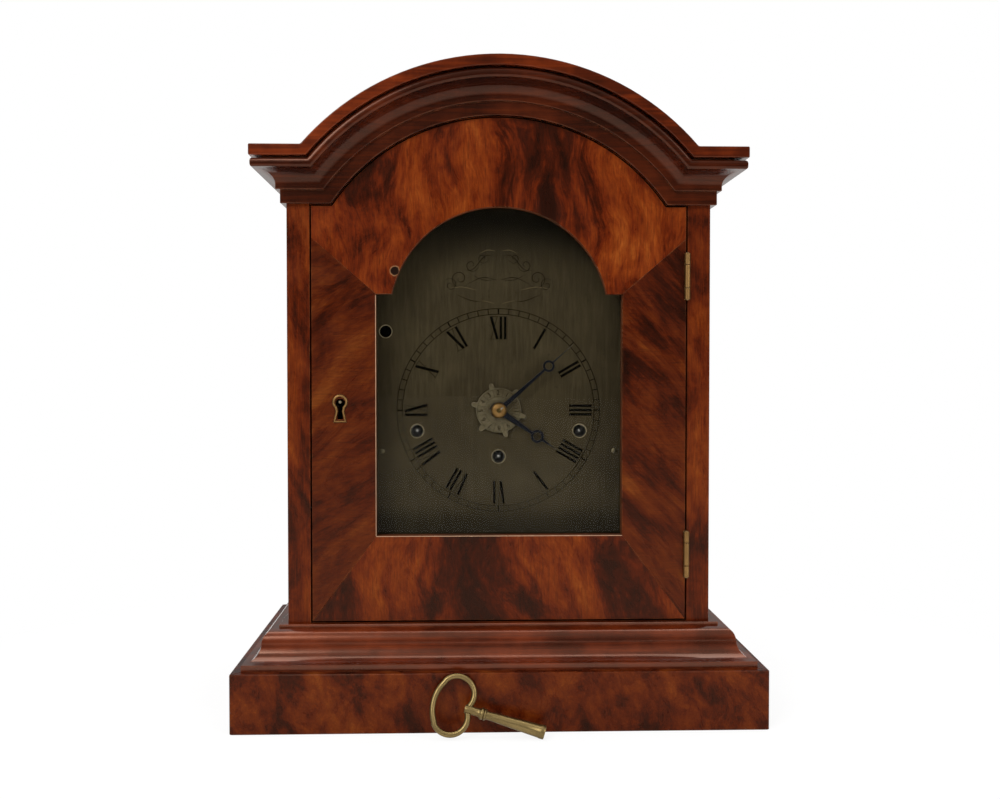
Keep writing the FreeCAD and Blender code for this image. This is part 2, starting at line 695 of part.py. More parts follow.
def build_cornice():
    """The front moulding follows the level ears and the arch between them. It is what the
    turned arch, the straight run and the outline of the whole front have in common."""
    overrun = "arch_centre+cap_radius"
    arch = turned("cornice_arch", "Y", "0", "0", "arch_centre", [
        (height, reach) for reach, height in cornice_profile(
            ahead, "cornice_radius", "2*cap_radius")])
    span = "half_case+lip_reach"
    straight = Piece("cornice_straight")
    straight.pad("YZ", mirrored(-1, span), "2*(%s)" % span, cornice_profile(
        ahead, "cornice_foot", overrun))
    mitre_ends(straight, "lip_reach", "cornice_foot", overrun)
    outline = prism("cornice_outline", "XZ", "face-lip_reach", "lip_reach", arched_band(
        "cornice_foot", "cornice_radius", "lip_top", "lip_radius", span))
    moulding = doc.addObject("Part::MultiCommon", "cornice_moulding")
    moulding.Shapes = [arch, straight.body, outline]
    moulding.Refine = True
    quirk = Piece("cornice_quirk")
    quirk.pad("XZ", "face-quirk_reach", "quirk_reach", arched_band(
        "lip_top", "lip_radius", "cap_under", "cap_inner", "half_case+quirk_reach"))
    mitre_ends(quirk, "quirk_reach", "lip_top", overrun)
    keep("cornice_front", fused("cornice_front", moulding, quirk.body))
    sides = []
    for sign, name in ((-1, "left"), (1, "right")):
        across = sideways(sign)
        loop = cornice_profile(across, "cornice_foot", "lip_top")
        loop[-1:] = [
            (across("quirk_reach"), "lip_top"), (across("quirk_reach"), "cap_under"),
            (across("0"), "cap_under")]
        sides.append(side_moulding("cornice_side_" + name, sign, loop, "lip_reach",
                                   "cornice_foot", "cap_ear_height-cornice_foot"))
    keep("cornice_sides", group("cornice_returns", *sides))


# ------------------------------------------------------------------ front door
def keyhole(head, foot, waist, height):
    """A keyhole outline: a round head on a skirt that widens downwards."""
    low = "lock_height-(%s)/2" % height
    centre = "lock_height+(%s)/2-%s" % (height, head)
    drop = "sqrt(%s^2-%s^2)" % (head, waist)
    return [
        ("lock_place-" + foot, low),
        ("lock_place+" + foot, low),
        ("lock_place+" + waist, "%s-%s" % (centre, drop), "left", head),
        ("lock_place", "%s+%s" % (centre, head), "left", head),
        ("lock_place-" + waist, "%s-%s" % (centre, drop)),
    ]


def keyhole_slot():
    """The slot for the key: a head of six flats on a skirt."""
    low = "lock_height-keyhole_height/2"
    centre = "lock_height+keyhole_height/2-keyhole_head"
    half = [("keyhole_foot", low), ("keyhole_waist", centre + "-keyhole_head"),
            ("keyhole_head", centre + "-keyhole_head/2"),
            ("keyhole_head", centre + "+keyhole_head/2"),
            ("keyhole_head/2", centre + "+keyhole_head")]
    return ([("lock_place+" + x, z) for x, z in half]
            + [("lock_place-" + x, z) for x, z in reversed(half)])


def glass_rebate(piece):
    return piece.pocket("XZ", "face+glass_setback", "door_thickness", window_outline(
        "glass_rebate"))


def build_door():
    """A frame of four members mitred at the window's corners, rebated for the glass."""
    crossing = "sqrt(window_radius^2-(window_shoulder-window_centre)^2)"
    door_crossing = spring("door_shoulder", "door_radius")
    mitre_top = "window_shoulder+mitre_rise"
    members = {
        "door_bottom_rail": [
            ("-(half_door)", "door_foot"), ("half_door", "door_foot"),
            ("window_half_width", "window_foot"), ("-window_half_width", "window_foot")],
        "door_head": [
            ("-(half_door)", mitre_top),
            ("-window_half_width", "window_shoulder"),
            (mirrored(-1, crossing), "window_shoulder", "right", "window_radius"),
            (crossing, "window_shoulder"),
            ("window_half_width", "window_shoulder"),
            ("half_door", mitre_top),
            ("half_door", "door_shoulder"),
            (door_crossing, "door_shoulder", "left", "door_radius"),
            (mirrored(-1, door_crossing), "door_shoulder"),
            ("-(half_door)", "door_shoulder")],
    }
    for sign, name in ((-1, "door_stile_lock"), (1, "door_stile_hinge")):
        edge = mirrored(sign, "half_door")
        sight = mirrored(sign, "window_half_width")
        members[name] = [
            (edge, "door_foot"), (sight, "window_foot"), (sight, "window_shoulder"),
            (edge, mitre_top)]
    for name, loop in members.items():
        piece = Piece(name).pad("XZ", "face", "door_thickness", loop)
        glass_rebate(piece)
        if name == "door_stile_lock":
            piece.pocket("XZ", "face", "door_thickness", keyhole_slot())
            piece.pocket("XZ", "door_back-lock_depth", "lock_depth", lock_outline())
        if name == "door_stile_hinge":
            for level in ("hinge_low", "hinge_high"):
                piece.pocket("XZ", "face", "leaf_width", rectangle(
                    "half_door-leaf_thickness", level + "-hinge_length/2",
                    "half_door+leaf_thickness", level + "+hinge_length/2"))
        keep(name, piece.body)
    keep("door_glass", prism(
        "door_glass", "XZ", "face+glass_setback", "glass_thickness",
        window_outline("glass_rebate-fit_gap")))
    start = "face+glass_setback+glass_thickness"
    low = "window_foot-glass_rebate"
    edge = "window_half_width+glass_rebate"
    beads = [board("bead_foot", mirrored(-1, edge), start, low, "2*(%s)" % edge,
                   "bead_depth", "bead_width")]
    for name, left in (("left", mirrored(-1, edge)), ("right", edge + "-bead_width")):
        beads.append(board("bead_" + name, left, start, low + "+bead_width", "bead_width",
                           "bead_depth", "window_shoulder-window_foot"))
    keep("door_beads", group("beads", *beads))


def lock_outline():
    return rectangle("-(half_door)", "lock_height-lock_length/2",
                     "lock_width-half_door", "lock_height+lock_length/2")


def build_lock():
    """A cut lock in the back of the stile, its bolt drawn back, and the escutcheon."""
    case = prism("lock_body", "XZ", "door_back-lock_depth", "lock_depth", lock_outline())
    middle = "door_back-lock_depth/2"
    channel = board("bolt_channel", "-(half_door)",
                    middle + "-bolt_thickness/2-fit_gap",
                    "lock_height-bolt_width/2-fit_gap", "bolt_channel",
                    "bolt_thickness+2*fit_gap", "bolt_width+2*fit_gap")
    throat = prism("lock_throat", "XZ", "door_back-lock_depth",
                   "lock_depth/2-bolt_thickness/2-fit_gap", keyhole_slot())
    keep("lock_case", cut("lock_case", case, channel, throat))
    keep("lock_bolt", board("lock_bolt", "fit_gap-half_door", middle + "-bolt_thickness/2",
                            "lock_height-bolt_width/2", "bolt_length", "bolt_thickness",
                            "bolt_width"))
    plate = keyhole("escutcheon_head", "escutcheon_foot", "escutcheon_waist",
                    "escutcheon_height")
    keep("escutcheon", prism("escutcheon", "XZ", "face-escutcheon_thickness",
                             "escutcheon_thickness", plate, keyhole_slot()))


# ------------------------------------------------------------------ hinges
def hinge_leaf(name, corner, inward, side, level):
    """One leaf with its knuckles: the door's has the middle half, the case's both ends.
    inward is +1 where the leaf runs towards +Y and -1 where it runs back."""
    low = "%s-hinge_length/2" % level
    quarter = "hinge_length/4"
    axis_y = "%s-(%d)*hinge_stand_off" % (corner, inward)
    leaf_x = "half_door-leaf_thickness" if side == "door" else "inner"
    leaf_y = corner if inward > 0 else corner + "-leaf_width"
    tab_y = axis_y if inward > 0 else corner
    if side == "door":
        stretches = [("%s+%s+knuckle_play" % (low, quarter), "hinge_length/2-2*knuckle_play")]
    else:
        stretches = [(low, quarter), ("%s+3*%s" % (low, quarter), quarter)]
    pieces = [board(name + "_leaf", leaf_x, leaf_y, low, "leaf_thickness", "leaf_width",
                    "hinge_length")]
    for index, (start, length) in enumerate(stretches):
        part = name + "_%d" % index
        pieces.append(board(part + "_tab", leaf_x, tab_y, start, "leaf_thickness",
                            "hinge_stand_off", length))
        pieces.append(rod(part + "_knuckle", "Z", "hinge_line", axis_y, start,
                          "knuckle_radius", length))
    return fused(name, *pieces)


def build_hinges():
    for end, corner, inward in (("front", "face", 1), ("rear", "back", -1)):
        for side in ("door", "case"):
            leaves = [
                hinge_leaf("%s_%s_%s" % (end, side, level), corner, inward, side,
                           "hinge_" + level)
                for level in ("low", "high")]
            node = "%s_hinge_%s_leaves" % (end, side)
            keep(node, group(node + "_pair", *leaves))


# ------------------------------------------------------------------ rear door
def build_rear_door():
    frame = Piece("rear_door_frame")
    frame.pad("XZ", "rear_inside", "rear_thickness", door_outline(), rear_window_outline())
    frame.pocket("XZ", "rear_inside", "rear_glass_setback", rear_window_outline(
        "glass_rebate"))
    for level in ("hinge_low", "hinge_high"):
        frame.pocket("XZ", "back-leaf_width", "leaf_width", rectangle(
            "half_door-leaf_thickness", level + "-hinge_length/2",
            "half_door+leaf_thickness", level + "+hinge_length/2"))
    keep("rear_door_frame", frame.body)
    keep("rear_door_glass", prism(
        "rear_door_glass", "XZ", "rear_inside+rear_glass_setback-glass_thickness",
        "glass_thickness", rear_window_outline("glass_rebate-fit_gap")))
    ball = "back+knob_length-knob_radius"
    keep("rear_door_knob", faceted(
        "rear_door_knob", "Y", "rear_frame_width/2-half_door", "0", "knob_height",
        "middle_sides", [
            ("0", "back"), ("knob_rose", "back"), ("knob_rose", "back+rose_thickness/2"),
            ("knob_neck", "back+rose_thickness"), ("knob_neck", ball + "-knob_radius*0.87"),
            ("knob_radius*0.87", ball + "-knob_radius/2"), ("knob_radius", ball),
            ("knob_radius*0.87", ball + "+knob_radius/2"),
            ("knob_radius/2", ball + "+knob_radius*0.87"), ("knob_radius/4", ball
             + "+knob_radius"), ("0", ball + "+knob_radius")]))


# ------------------------------------------------------------------ dial and hands
def dial_hole(across, up, radius):
    return flats(across, "dial_height+(%s)" % up, radius, "middle_sides")


def build_dial():
    """The dial plate, larger than the window, on three feet riveted to its back."""
    keep("dial_plate", prism(
        "dial_plate", "XZ", "dial_front", "dial_thickness", window_outline("dial_margin"),
        dial_hole("0", "0", "centre_hole"),
        dial_hole("0", "-low_hole_drop", "winding_hole"),
        dial_hole("-side_hole_span", "-side_hole_drop", "winding_hole"),
        dial_hole("side_hole_span", "-side_hole_drop", "winding_hole"),
        dial_hole("-plain_hole_span", "plain_hole_rise", "plain_hole")))
    places = [("-dial_foot_span", "-dial_foot_low"), ("dial_foot_span", "-dial_foot_low"),
              ("0", "dial_foot_rise")]
    feet = [
        rod("dial_foot_%d" % index, "Y", across, "dial_back", "dial_height+(%s)" % up,
            "dial_foot_radius", "front_plate_front-dial_back")
        for index, (across, up) in enumerate(places)]
    keep("dial_feet", group("feet", *feet))


def hand(node, start, name, angle, bore):
    """A flat hand drawn pointing up, with a ring in its blade, then turned to the time."""
    ring, ring_at = name + "_ring", name + "_ring_at"
    boss, tip, tail = name + "_boss", name + "_tip", name + "_tail"
    neck = "%s*0.5" % tail
    ring_in = "%s-sqrt(%s^2-(%s)^2)" % (ring_at, ring, neck)
    ring_out = "%s+sqrt(%s^2-%s^2)" % (ring_at, ring, tip)
    loop = [
        (tail, boss),
        (neck, ring_in, "left", ring),
        (ring, ring_at, "left", ring),
        (tip, ring_out),
        ("0", name + "_length"),
        ("-" + tip, ring_out, "left", ring),
        ("-" + ring, ring_at, "left", ring),
        (mirrored(-1, neck), ring_in),
        ("-" + tail, boss),
        ("-" + boss, tail),
        ("-" + boss, "-" + tail),
        ("-" + tail, "-" + boss),
        (tail, "-" + boss),
        (boss, "-" + tail),
        (boss, tail),
    ]
    body = prism(node, "XZ", start, "hand_thickness", loop, flats("0", "0", bore),
                 ("circle", "0", ring_at, ring + "_hole"))
    place(body, "0", "0", "dial_height", Rotation(ALONG_Y, 1))
    body.setExpression("Placement.Rotation.Angle", formula(angle))
    keep(node, body)


def build_hands():
    hand("minute_hand", "face+minute_setback", "minute", "shown_minutes*6", "cannon_bore")
    hand("hour_hand", "face+hour_setback", "hour", "shown_hours*30+shown_minutes/2",
         "hour_bore")
    rear = "face+minute_setback"
    keep("hand_collet", faceted(
        "hand_collet", "Y", "0", "0", "dial_height", "middle_sides", [
            ("arbor_radius", rear), ("arbor_radius", rear + "-collet_height"),
            ("collet_crown", rear + "-collet_height"),
            ("collet_brow", rear + "-collet_height*0.8"),
            ("collet_radius", rear + "-collet_edge"), ("collet_radius", rear)]))


def build_alarm_disc():
    """The alarm setting disc, turned by the six small tabs round its edge."""
    start = "face+alarm_setback"
    piece = Piece("alarm_disc")
    piece.pad("XZ", start, "alarm_thickness",
              flats("0", "0", "alarm_radius", "large_sides"), flats("0", "0", "alarm_bore"))
    root = "alarm_radius-alarm_tab_width/2"
    half = "alarm_tab_width/2"
    piece.pad("XZ", start, "alarm_thickness", [
        (mirrored(-1, half), root), (half, root), (half, "alarm_tab_reach-" + half),
        ("0", "alarm_tab_reach"), (mirrored(-1, half), "alarm_tab_reach-" + half)])
    pattern = piece.body.newObject("PartDesign::PolarPattern", "alarm_disc_tabs")
    pattern.Originals = [piece.body.Group[-2]]
    features = piece.body.Origin.OriginFeatures
    pattern.Axis = (next(f for f in features if f.Role == "Y_Axis"), [""])
    pattern.Angle = 360
    pattern.setExpression("Occurrences", formula("alarm_tabs"))
    piece.body.Tip = pattern
    place(piece.body, "0", "0", "dial_height", Rotation(ALONG_Y, 1))
    piece.body.setExpression("Placement.Rotation.Angle", formula("alarm_turn"))
    keep("alarm_disc", piece.body)


# ------------------------------------------------------------------ movement frame
def build_plates():
    """The front plate with the holes and the stud that show, and the back plate."""
    outline = rectangle("-plate_half_width", "seat_top", "plate_half_width", "plate_top")
    round_out = "/cos(180/small_sides)"
    holes = [("0", "0", "arbor_radius+arbor_play")]
    for across, up in (("0", "-low_hole_drop"), ("-side_hole_span", "-side_hole_drop"),
                       ("side_hole_span", "-side_hole_drop")):
        holes.append((across, up, "winding_arbor+winding_play"))
    drills = [
        rod("plate_hole_%d" % index, "Y", across, "front_plate_front",
            "dial_height+(%s)" % up, "(%s)%s" % (radius, round_out), "plate_thickness")
        for index, (across, up, radius) in enumerate(holes)]
    front = prism("front_plate_body", "XZ", "front_plate_front", "plate_thickness", outline)
    stud_front = "face+minute_pinion_level-motion_thickness"
    stud = rod("minute_wheel_stud", "Y", "stud_across", stud_front, "dial_height+stud_up",
               "stud_radius", "front_plate_front-(%s)" % stud_front)
    keep("front_plate", fused("front_plate", cut("front_plate_drilled", front, *drills),
                              stud))
    back = prism("back_plate_body", "XZ", "back_plate_front", "plate_thickness", outline)
    drill = rod("back_plate_hole", "Y", "0", "back_plate_front", "pallet_height",
                "(arbor_radius+arbor_play)" + round_out, "plate_thickness")
    keep("back_plate", cut("back_plate", back, drill))


def pillar(name, sign, height):
    return rod(name, "Y", mirrored(sign, "pillar_span"), "front_plate_back", height,
               "pillar_radius", "plate_space")


def build_movement_frame():
    """Pillars between the plates, the seat board under them and the bolts through it."""
    pillars, bolts, bolt_holes = [], [], []
    bolt_top = "pillar_low-pillar_radius+seat_bolt_bite"
    under_seat = "seat_top-seat_thickness"
    for sign, side in ((-1, "left"), (1, "right")):
        place_x = mirrored(sign, "pillar_span")
        pillars.append(pillar("pillar_top_" + side, sign, "pillar_high"))
        shank = "%s-(%s)" % (bolt_top, under_seat)
        drill = rod("pillar_drill_" + side, "Z", place_x, "plate_middle", under_seat,
                    "seat_bolt_radius", shank)
        pillars.append(cut("pillar_low_" + side, pillar("pillar_blank_" + side, sign,
                                                        "pillar_low"), drill))
        bolt_holes.append(rod("seat_hole_" + side, "Z", place_x, "plate_middle",
                              under_seat, "seat_bolt_radius", "seat_thickness"))
        bolts.append(fused(
            "seat_bolt_" + side,
            rod("bolt_shank_" + side, "Z", place_x, "plate_middle", under_seat,
                "seat_bolt_radius", shank),
            board("bolt_head_" + side, place_x + "-seat_bolt_head/2",
                  "plate_middle-seat_bolt_head/2", under_seat + "-seat_bolt_head_height",
                  "seat_bolt_head", "seat_bolt_head", "seat_bolt_head_height")))
    keep("movement_pillars", group("pillars", *pillars))
    keep("seat_bolts", group("bolts", *bolts))
    seat = board("seat", "-(inner)", "face+seat_setback", under_seat, "2*inner",
                 "seat_depth", "seat_thickness")
    cleats = [
        board("cleat_" + side, start, "face+seat_setback", under_seat + "-cleat_size",
              "cleat_size", "seat_depth", "cleat_size")
        for side, start in (("left", "-(inner)"), ("right", "inner-cleat_size"))]
    keep("seat_board", group("seat_pieces", cut("seat_drilled", seat, *bolt_holes), *cleats))


# ------------------------------------------------------------------ wheels and arbors
def ring_points(radius, angles):
    return [Vector(radius * math.cos(angle), 0, radius * math.sin(angle))
            for angle in angles]


def slab(points, start, depth):
    """A flat plate from an outline in the plane of the wheels."""
    wire = Part.makePolygon(points + points[:1])
    wire.translate(Vector(0, start, 0))
    return Part.Face(wire).extrude(Vector(0, depth, 0))


def toothed(teeth, root, tip, phase, start, depth, lean=0):
    """A toothed disc; phase is the direction of its first tooth, in radians, and lean
    is how far the tips are turned on, as a share of the pitch."""
    pitch = 2 * math.pi / teeth
    points = []
    for index in range(round(teeth)):
        middle = phase + index * pitch
        points += ring_points(root, [middle - pitch / 2])
        points += ring_points(tip, [middle + lean * pitch])
    return slab(points, start, depth)


def gear(kind, teeth, module, phase, start, depth):
    """A wheel or a pinion of the train, in the movement's tooth proportions."""
    radius = teeth * module / 2
    return toothed(
        teeth, radius - value(kind + "_dedendum") * module,
        radius + value(kind + "_addendum") * module, phase, start, depth)


def bar(radius, start, end, sides="small_sides"):
    """A round bar of the movement, with flats for its circle."""
    count = round(value(sides))
    angles = [2 * math.pi * step / count for step in range(count)]
    return slab(ring_points(radius, angles), start, end - start)


def bore(radius, start, end):
    """The hole that a round bar of this radius turns in."""
    return bar(radius / math.cos(math.pi / value("small_sides")), start, end)


def crossing_windows(rim, start, depth):
    """The openings between a wheel's arms."""
    hub = value("crossing_hub")
    count = round(value("crossings"))
    half_arm = value("crossing_arm") / 2
    windows = []
    for index in range(count):
        low = 2 * math.pi * index / count
        high = 2 * math.pi * (index + 1) / count
        points = []
        for radius in (hub, rim):
            lean = math.asin(half_arm / radius)
            points += ring_points(radius, [low + lean, high - lean])
        inner_low, inner_high, outer_low, outer_high = points
        middle = ring_points(rim, [(low + high) / 2])
        windows.append(slab([inner_low, outer_low] + middle + [outer_high, inner_high],
                            start, depth))
    return windows


def wheelwork(node, across, up, solids, cuts=()):
    """Joins the solids of one arbor and puts them at its place in the movement."""
    shape = solids[0].multiFuse(solids[1:]) if len(solids) > 1 else solids[0]
    if cuts:
        shape = shape.cut(list(cuts))
    thing = doc.addObject("Part::Feature", node)
    thing.Shape = shape.removeSplitter()
    place(thing, across, "0", "dial_height+(%s)" % up)
    return keep(node, thing)


def behind_door(size):
    """The Y of a level that is given from the front of the case."""
    return value("face+" + size)


def between_plates(radius):
    """An arbor from plate to plate, with its end shake."""
    shake = value("arbor_end_shake")
    return bar(radius, value("front_plate_back") + shake, value("back_plate_front") - shake)


def build_going_train():
    """Centre, third and escape arbors. A wheel's first tooth points at its pinion, and
    the pinion has a gap there."""
    thick = value("wheel_thickness")
    length = value("pinion_length")
    third_way = math.atan2(value("third_up"), value("third_across"))
    escape_way = math.atan2(value("escape_rise-third_up"), -value("third_across"))
    down = -math.pi / 2

    leaves = value("centre_leaves")
    level = behind_door("centre_wheel_level")
    pinion_start = behind_door("great_level") - (length - value("great_thickness")) / 2
    wheel = gear("wheel", value("centre_teeth"), value("centre_module"), third_way, level,
                 thick)
    pinion = gear("pinion", leaves, value("great_module"), down + math.pi / leaves,
                  pinion_start, length)
    front_end = value("face+minute_setback-collet_height")
    spindle = bar(value("arbor_radius"), front_end,
                  value("back_plate_front-arbor_end_shake"))
    rim = value("centre_module*centre_teeth/2-crossing_rim")
    wheelwork("centre_arbor", "0", "0", [wheel, pinion, spindle],
              crossing_windows(rim, level, thick))

    leaves = value("third_leaves")
    third_level = behind_door("third_wheel_level")
    wheel = gear("wheel", value("third_teeth"), value("third_module"), escape_way,
                 third_level, thick)
    pinion = gear("pinion", leaves, value("centre_module"),
                  third_way + math.pi + math.pi / leaves,
                  level - (length - thick) / 2, length)
    rim = value("third_module*third_teeth/2-crossing_rim")
    arbor = between_plates(value("train_arbor"))
    wheelwork("third_wheel", "third_across", "third_up", [wheel, pinion, arbor],
              crossing_windows(rim, third_level, thick))

    leaves = value("escape_leaves")
    pinion = gear("pinion", leaves, value("third_module"),
                  escape_way + math.pi + math.pi / leaves,
                  third_level - (length - thick) / 2, length)
    radius = value("escape_radius")
    wheel = toothed(value("escape_teeth"), radius - value("escape_tooth"), radius, 0,
                    behind_door("escape_level"), thick, value("saw_lean"))
    wheelwork("escape_wheel", "0", "escape_rise",
              [wheel, pinion, between_plates(value("train_arbor"))])


def build_motion_work():
    """Cannon pinion, minute wheel and hour wheel, which turn the hour hand once in twelve
    turns of the minute hand."""
    way = math.radians(value("motion_direction"))
    cannon_leaves = value("cannon_leaves")
    start = behind_door("cannon_level")
    cannon = gear("pinion", cannon_leaves, value("cannon_module"),
                  way + math.pi / cannon_leaves, start, value("cannon_length"))
    tip = value("face+minute_setback+hand_thickness")
    end = start + value("cannon_length")
    wheelwork("cannon_pinion", "0", "0", [cannon, bar(value("cannon_pipe"), tip, end)],
              [bore(value("cannon_bore"), tip, end)])

    thick = value("motion_thickness")
    wheel_start = behind_door("minute_wheel_level")
    pinion_start = behind_door("minute_pinion_level")
    leaves = value("minute_wheel_leaves")
    wheel = gear("wheel", value("minute_wheel_teeth"), value("cannon_module"),
                 way + math.pi, wheel_start, thick)
    pinion = gear("pinion", leaves, value("hour_module"), way + math.pi + math.pi / leaves,
                  pinion_start, value("minute_pinion_length"))
    end = wheel_start + thick
    wheelwork("minute_wheel", "stud_across", "stud_up",
              [wheel, pinion, bar(value("stud_radius*2"), pinion_start, end)],
              [bore(value("stud_radius+stud_play"), pinion_start, end)])

    hour_start = behind_door("hour_wheel_level")
    hour = gear("wheel", value("hour_wheel_teeth"), value("hour_module"), way, hour_start,
                thick)
    tip = value("face+hour_setback+hand_thickness")
    end = hour_start + thick
    wheelwork("hour_wheel", "0", "0", [hour, bar(value("hour_pipe"), tip, end)],
              [bore(value("hour_bore"), tip, end)])


def winding_arbor(node, across, up):
    """A barrel arbor: the square for the key, a ratchet wheel, then the round shaft."""
    half = value("square_size") / 2
    front = behind_door("square_setback")
    shoulder = behind_door("square_end")
    corners = [Vector(-half, 0, -half), Vector(half, 0, -half), Vector(half, 0, half),
               Vector(-half, 0, half)]
    square = slab(corners, front, shoulder - front)
    shaft = bar(value("winding_arbor"), shoulder, value("back_plate_front-arbor_end_shake"))
    radius = value("ratchet_radius")
    ratchet = toothed(value("ratchet_teeth"), radius - value("ratchet_tooth"), radius, 0,
                      behind_door("ratchet_level"), value("ratchet_thickness"),
                      value("saw_lean"))
    wheelwork(node, across, up, [square, shaft, ratchet])


def barrel(node, across, up, teeth, module, great_level, drum_level, radius, phase):
    """A spring barrel: a drum and its great wheel, running free on the winding arbor."""
    thick = value("great_thickness")
    length = value("drum_length")
    wheel = gear("wheel", teeth, module, phase, great_level, thick)
    drum = bar(radius, drum_level, drum_level + length, "middle_sides")
    start = min(great_level, drum_level)
    end = max(great_level + thick, drum_level + length)
    hole = bore(value("winding_arbor+winding_play"), start, end)
    wheelwork(node, across, up, [wheel, drum], [hole])


def build_barrels():
    drum = value("drum_radius")
    thick = value("great_thickness")
    great = behind_door("great_level")
    barrel("going_barrel", "0", "-low_hole_drop", value("great_teeth"),
           value("great_module"), great, great + thick, drum, math.pi / 2)
    great = behind_door("strike_great_level")
    for node, across, radius in (("strike_barrel", "-side_hole_span", drum),
                                 ("alarm_barrel", "side_hole_span",
                                  value("alarm_drum_radius"))):
        barrel(node, across, "-side_hole_drop", value("strike_teeth"),
               value("strike_module"), great, great - value("drum_length"), radius, 0)
    winding_arbor("going_winding_arbor", "0", "-low_hole_drop")
    winding_arbor("strike_winding_arbor", "-side_hole_span", "-side_hole_drop")
    winding_arbor("alarm_winding_arbor", "side_hole_span", "-side_hole_drop")


# ------------------------------------------------------------------ escapement
def build_pallets():
    """The anchor over the escape wheel, its arbor, and the crutch behind the back plate
    whose fork takes the pendulum rod."""
    reach = "escape_radius+pallet_clearance"
    nib_x = "(%s)*cos(pallet_angle)" % reach
    nib_z = "pallet_height-pallet_rise+escape_rise+(%s)*sin(pallet_angle)" % reach
    far_x = "(%s+nib_length)*cos(pallet_angle)" % reach
    far_z = "pallet_height-pallet_rise+escape_rise+(%s+nib_length)*sin(pallet_angle)" % reach
    side = "nib_width*cos(pallet_angle)/2"
    half = [
        ("pallet_hub", "pallet_height+pallet_hub"),
        (far_x + "+" + side, far_z + "+pallet_hub-" + side),
        (far_x + "+" + side, far_z + "-" + side),
        (nib_x + "+" + side, nib_z + "-" + side),
        (nib_x + "-" + side, nib_z + "+" + side),
        (nib_x + "-" + side, nib_z + "+pallet_hub"),
        ("pallet_hub/2", "pallet_height-pallet_hub/2"),
    ]
    other_half = [(mirrored(-1, x), z) for x, z in reversed(half)]
    middle = "face+escape_level+wheel_thickness/2"
    anchor = prism("anchor", "XZ", middle + "-pallet_thickness/2", "pallet_thickness",
                   half + other_half)
    front = "front_plate_back+arbor_end_shake"
    crutch_start = "back_plate_back+crutch_gap"
    arbor = rod("pallet_arbor", "Y", "0", front, "pallet_height", "arbor_radius",
                "cock_front-arbor_end_shake-(%s)" % front)
    fork_low = "pallet_height-crutch_drop"
    arm = board("crutch_arm", "-crutch_width/2", crutch_start, fork_low, "crutch_width",
                "crutch_thickness", "crutch_drop+crutch_width/2")
    inside = "rod_radius+fit_gap"
    bridge = board("crutch_bridge", "-(%s)-fork_prong" % inside, crutch_start, fork_low,
                   "2*(%s+fork_prong)" % inside, "crutch_thickness", "fork_prong*2")
    fork_end = "pendulum_line+rod_radius+fit_gap"
    prongs = [
        board("prong_" + name, start, crutch_start, fork_low, "fork_prong",
              "%s-(%s)" % (fork_end, crutch_start), "fork_prong*2")
        for name, start in (("left", "-(%s)-fork_prong" % inside), ("right", inside))]
    keep("pallets", fused("pallets", anchor, arbor, arm, bridge, *prongs))


def build_back_cock():
    """The bridge over the pallet arbor, with the slotted arm that the pendulum hangs on."""
    low = "pallet_height-cock_height/2"
    legs = [
        board("cock_leg_" + name, start, "back_plate_back", low, "cock_foot", "cock_leg",
              "cock_height")
        for name, start in (("left", "-cock_half_width"),
                            ("right", "cock_half_width-cock_foot"))]
    bridge = board("cock_bridge", "-cock_half_width", "cock_front", low,
                   "2*cock_half_width", "cock_thickness", "cock_height")
    arm_y = "pendulum_line-cock_arm_width/2"
    arm_start = "cock_back"
    arm = board("cock_arm", "-cock_arm/2", arm_start, "pallet_height", "cock_arm",
                arm_y + "+cock_arm_width-(%s)" % arm_start, "cock_arm_height")
    solid = fused("cock_solid", bridge, arm, *legs)
    slot = board("cock_slot_cut", "-cock_slot/2", "pendulum_line-spring_width/2-fit_gap",
                 "pallet_height", "cock_slot",
                 "cock_arm_width", "cock_arm_height")
    keep("back_cock", cut("back_cock", solid, slot))


def build_pendulum():
    """Suspension spring and chops, the rod through the bob, and the rating nut."""
    spring_low = "pallet_height-spring_drop"
    strip = board("suspension_spring", "-spring_thickness/2", "pendulum_line-spring_width/2",
                  spring_low, "spring_thickness", "spring_width", "spring_drop+spring_top")
    chop = board("chop_pin", "-chop_length/2", "pendulum_line-chop_size/2",
                 "pallet_height+cock_arm_height+fit_gap", "chop_length", "chop_size",
                 "chop_size")
    rod_low = "bob_height-bob_radius-nut_height-rod_end"
    shaft = rod("pendulum_shaft", "Z", "0", "pendulum_line", rod_low, "rod_radius",
                "%s-(%s)" % (spring_low, rod_low) + "+rod_radius")
    nut = rod("rating_nut", "Z", "0", "pendulum_line", "bob_height-bob_radius-nut_height",
              "nut_radius", "nut_height")
    keep("pendulum_rod", fused("pendulum_rod", strip, chop, shaft, nut))
    lens = [("0", "-bob_thickness/2"), ("bob_radius*0.3", "-bob_thickness/2"),
            ("bob_radius*0.7", "-bob_thickness*0.35"), ("bob_radius", "-bob_edge/2")]
    rear = [(radius, mirrored(-1, level)) for radius, level in reversed(lens)]
    disc = faceted("bob_disc", "Y", "0", "pendulum_line", "bob_height", "large_sides",
                   lens + rear)
    bore = rod("bob_bore", "Z", "0", "pendulum_line", "bob_height-2*bob_radius",
               "rod_radius", "4*bob_radius")
    keep("pendulum_bob", cut("pendulum_bob", disc, bore))


# ------------------------------------------------------------------ bell and hammer
def bell_line(radius, height):
    """Corners from a rim to a crown, on a quarter of an ellipse."""
    bands = round(value("bell_bands"))
    corners = []
    for band in range(bands):
        angle = "%d/bell_bands*90" % band
        corners.append(("(%s)*cos(%s)" % (radius, angle),
                        "bell_rim+(%s)*sin(%s)" % (height, angle)))
    return corners


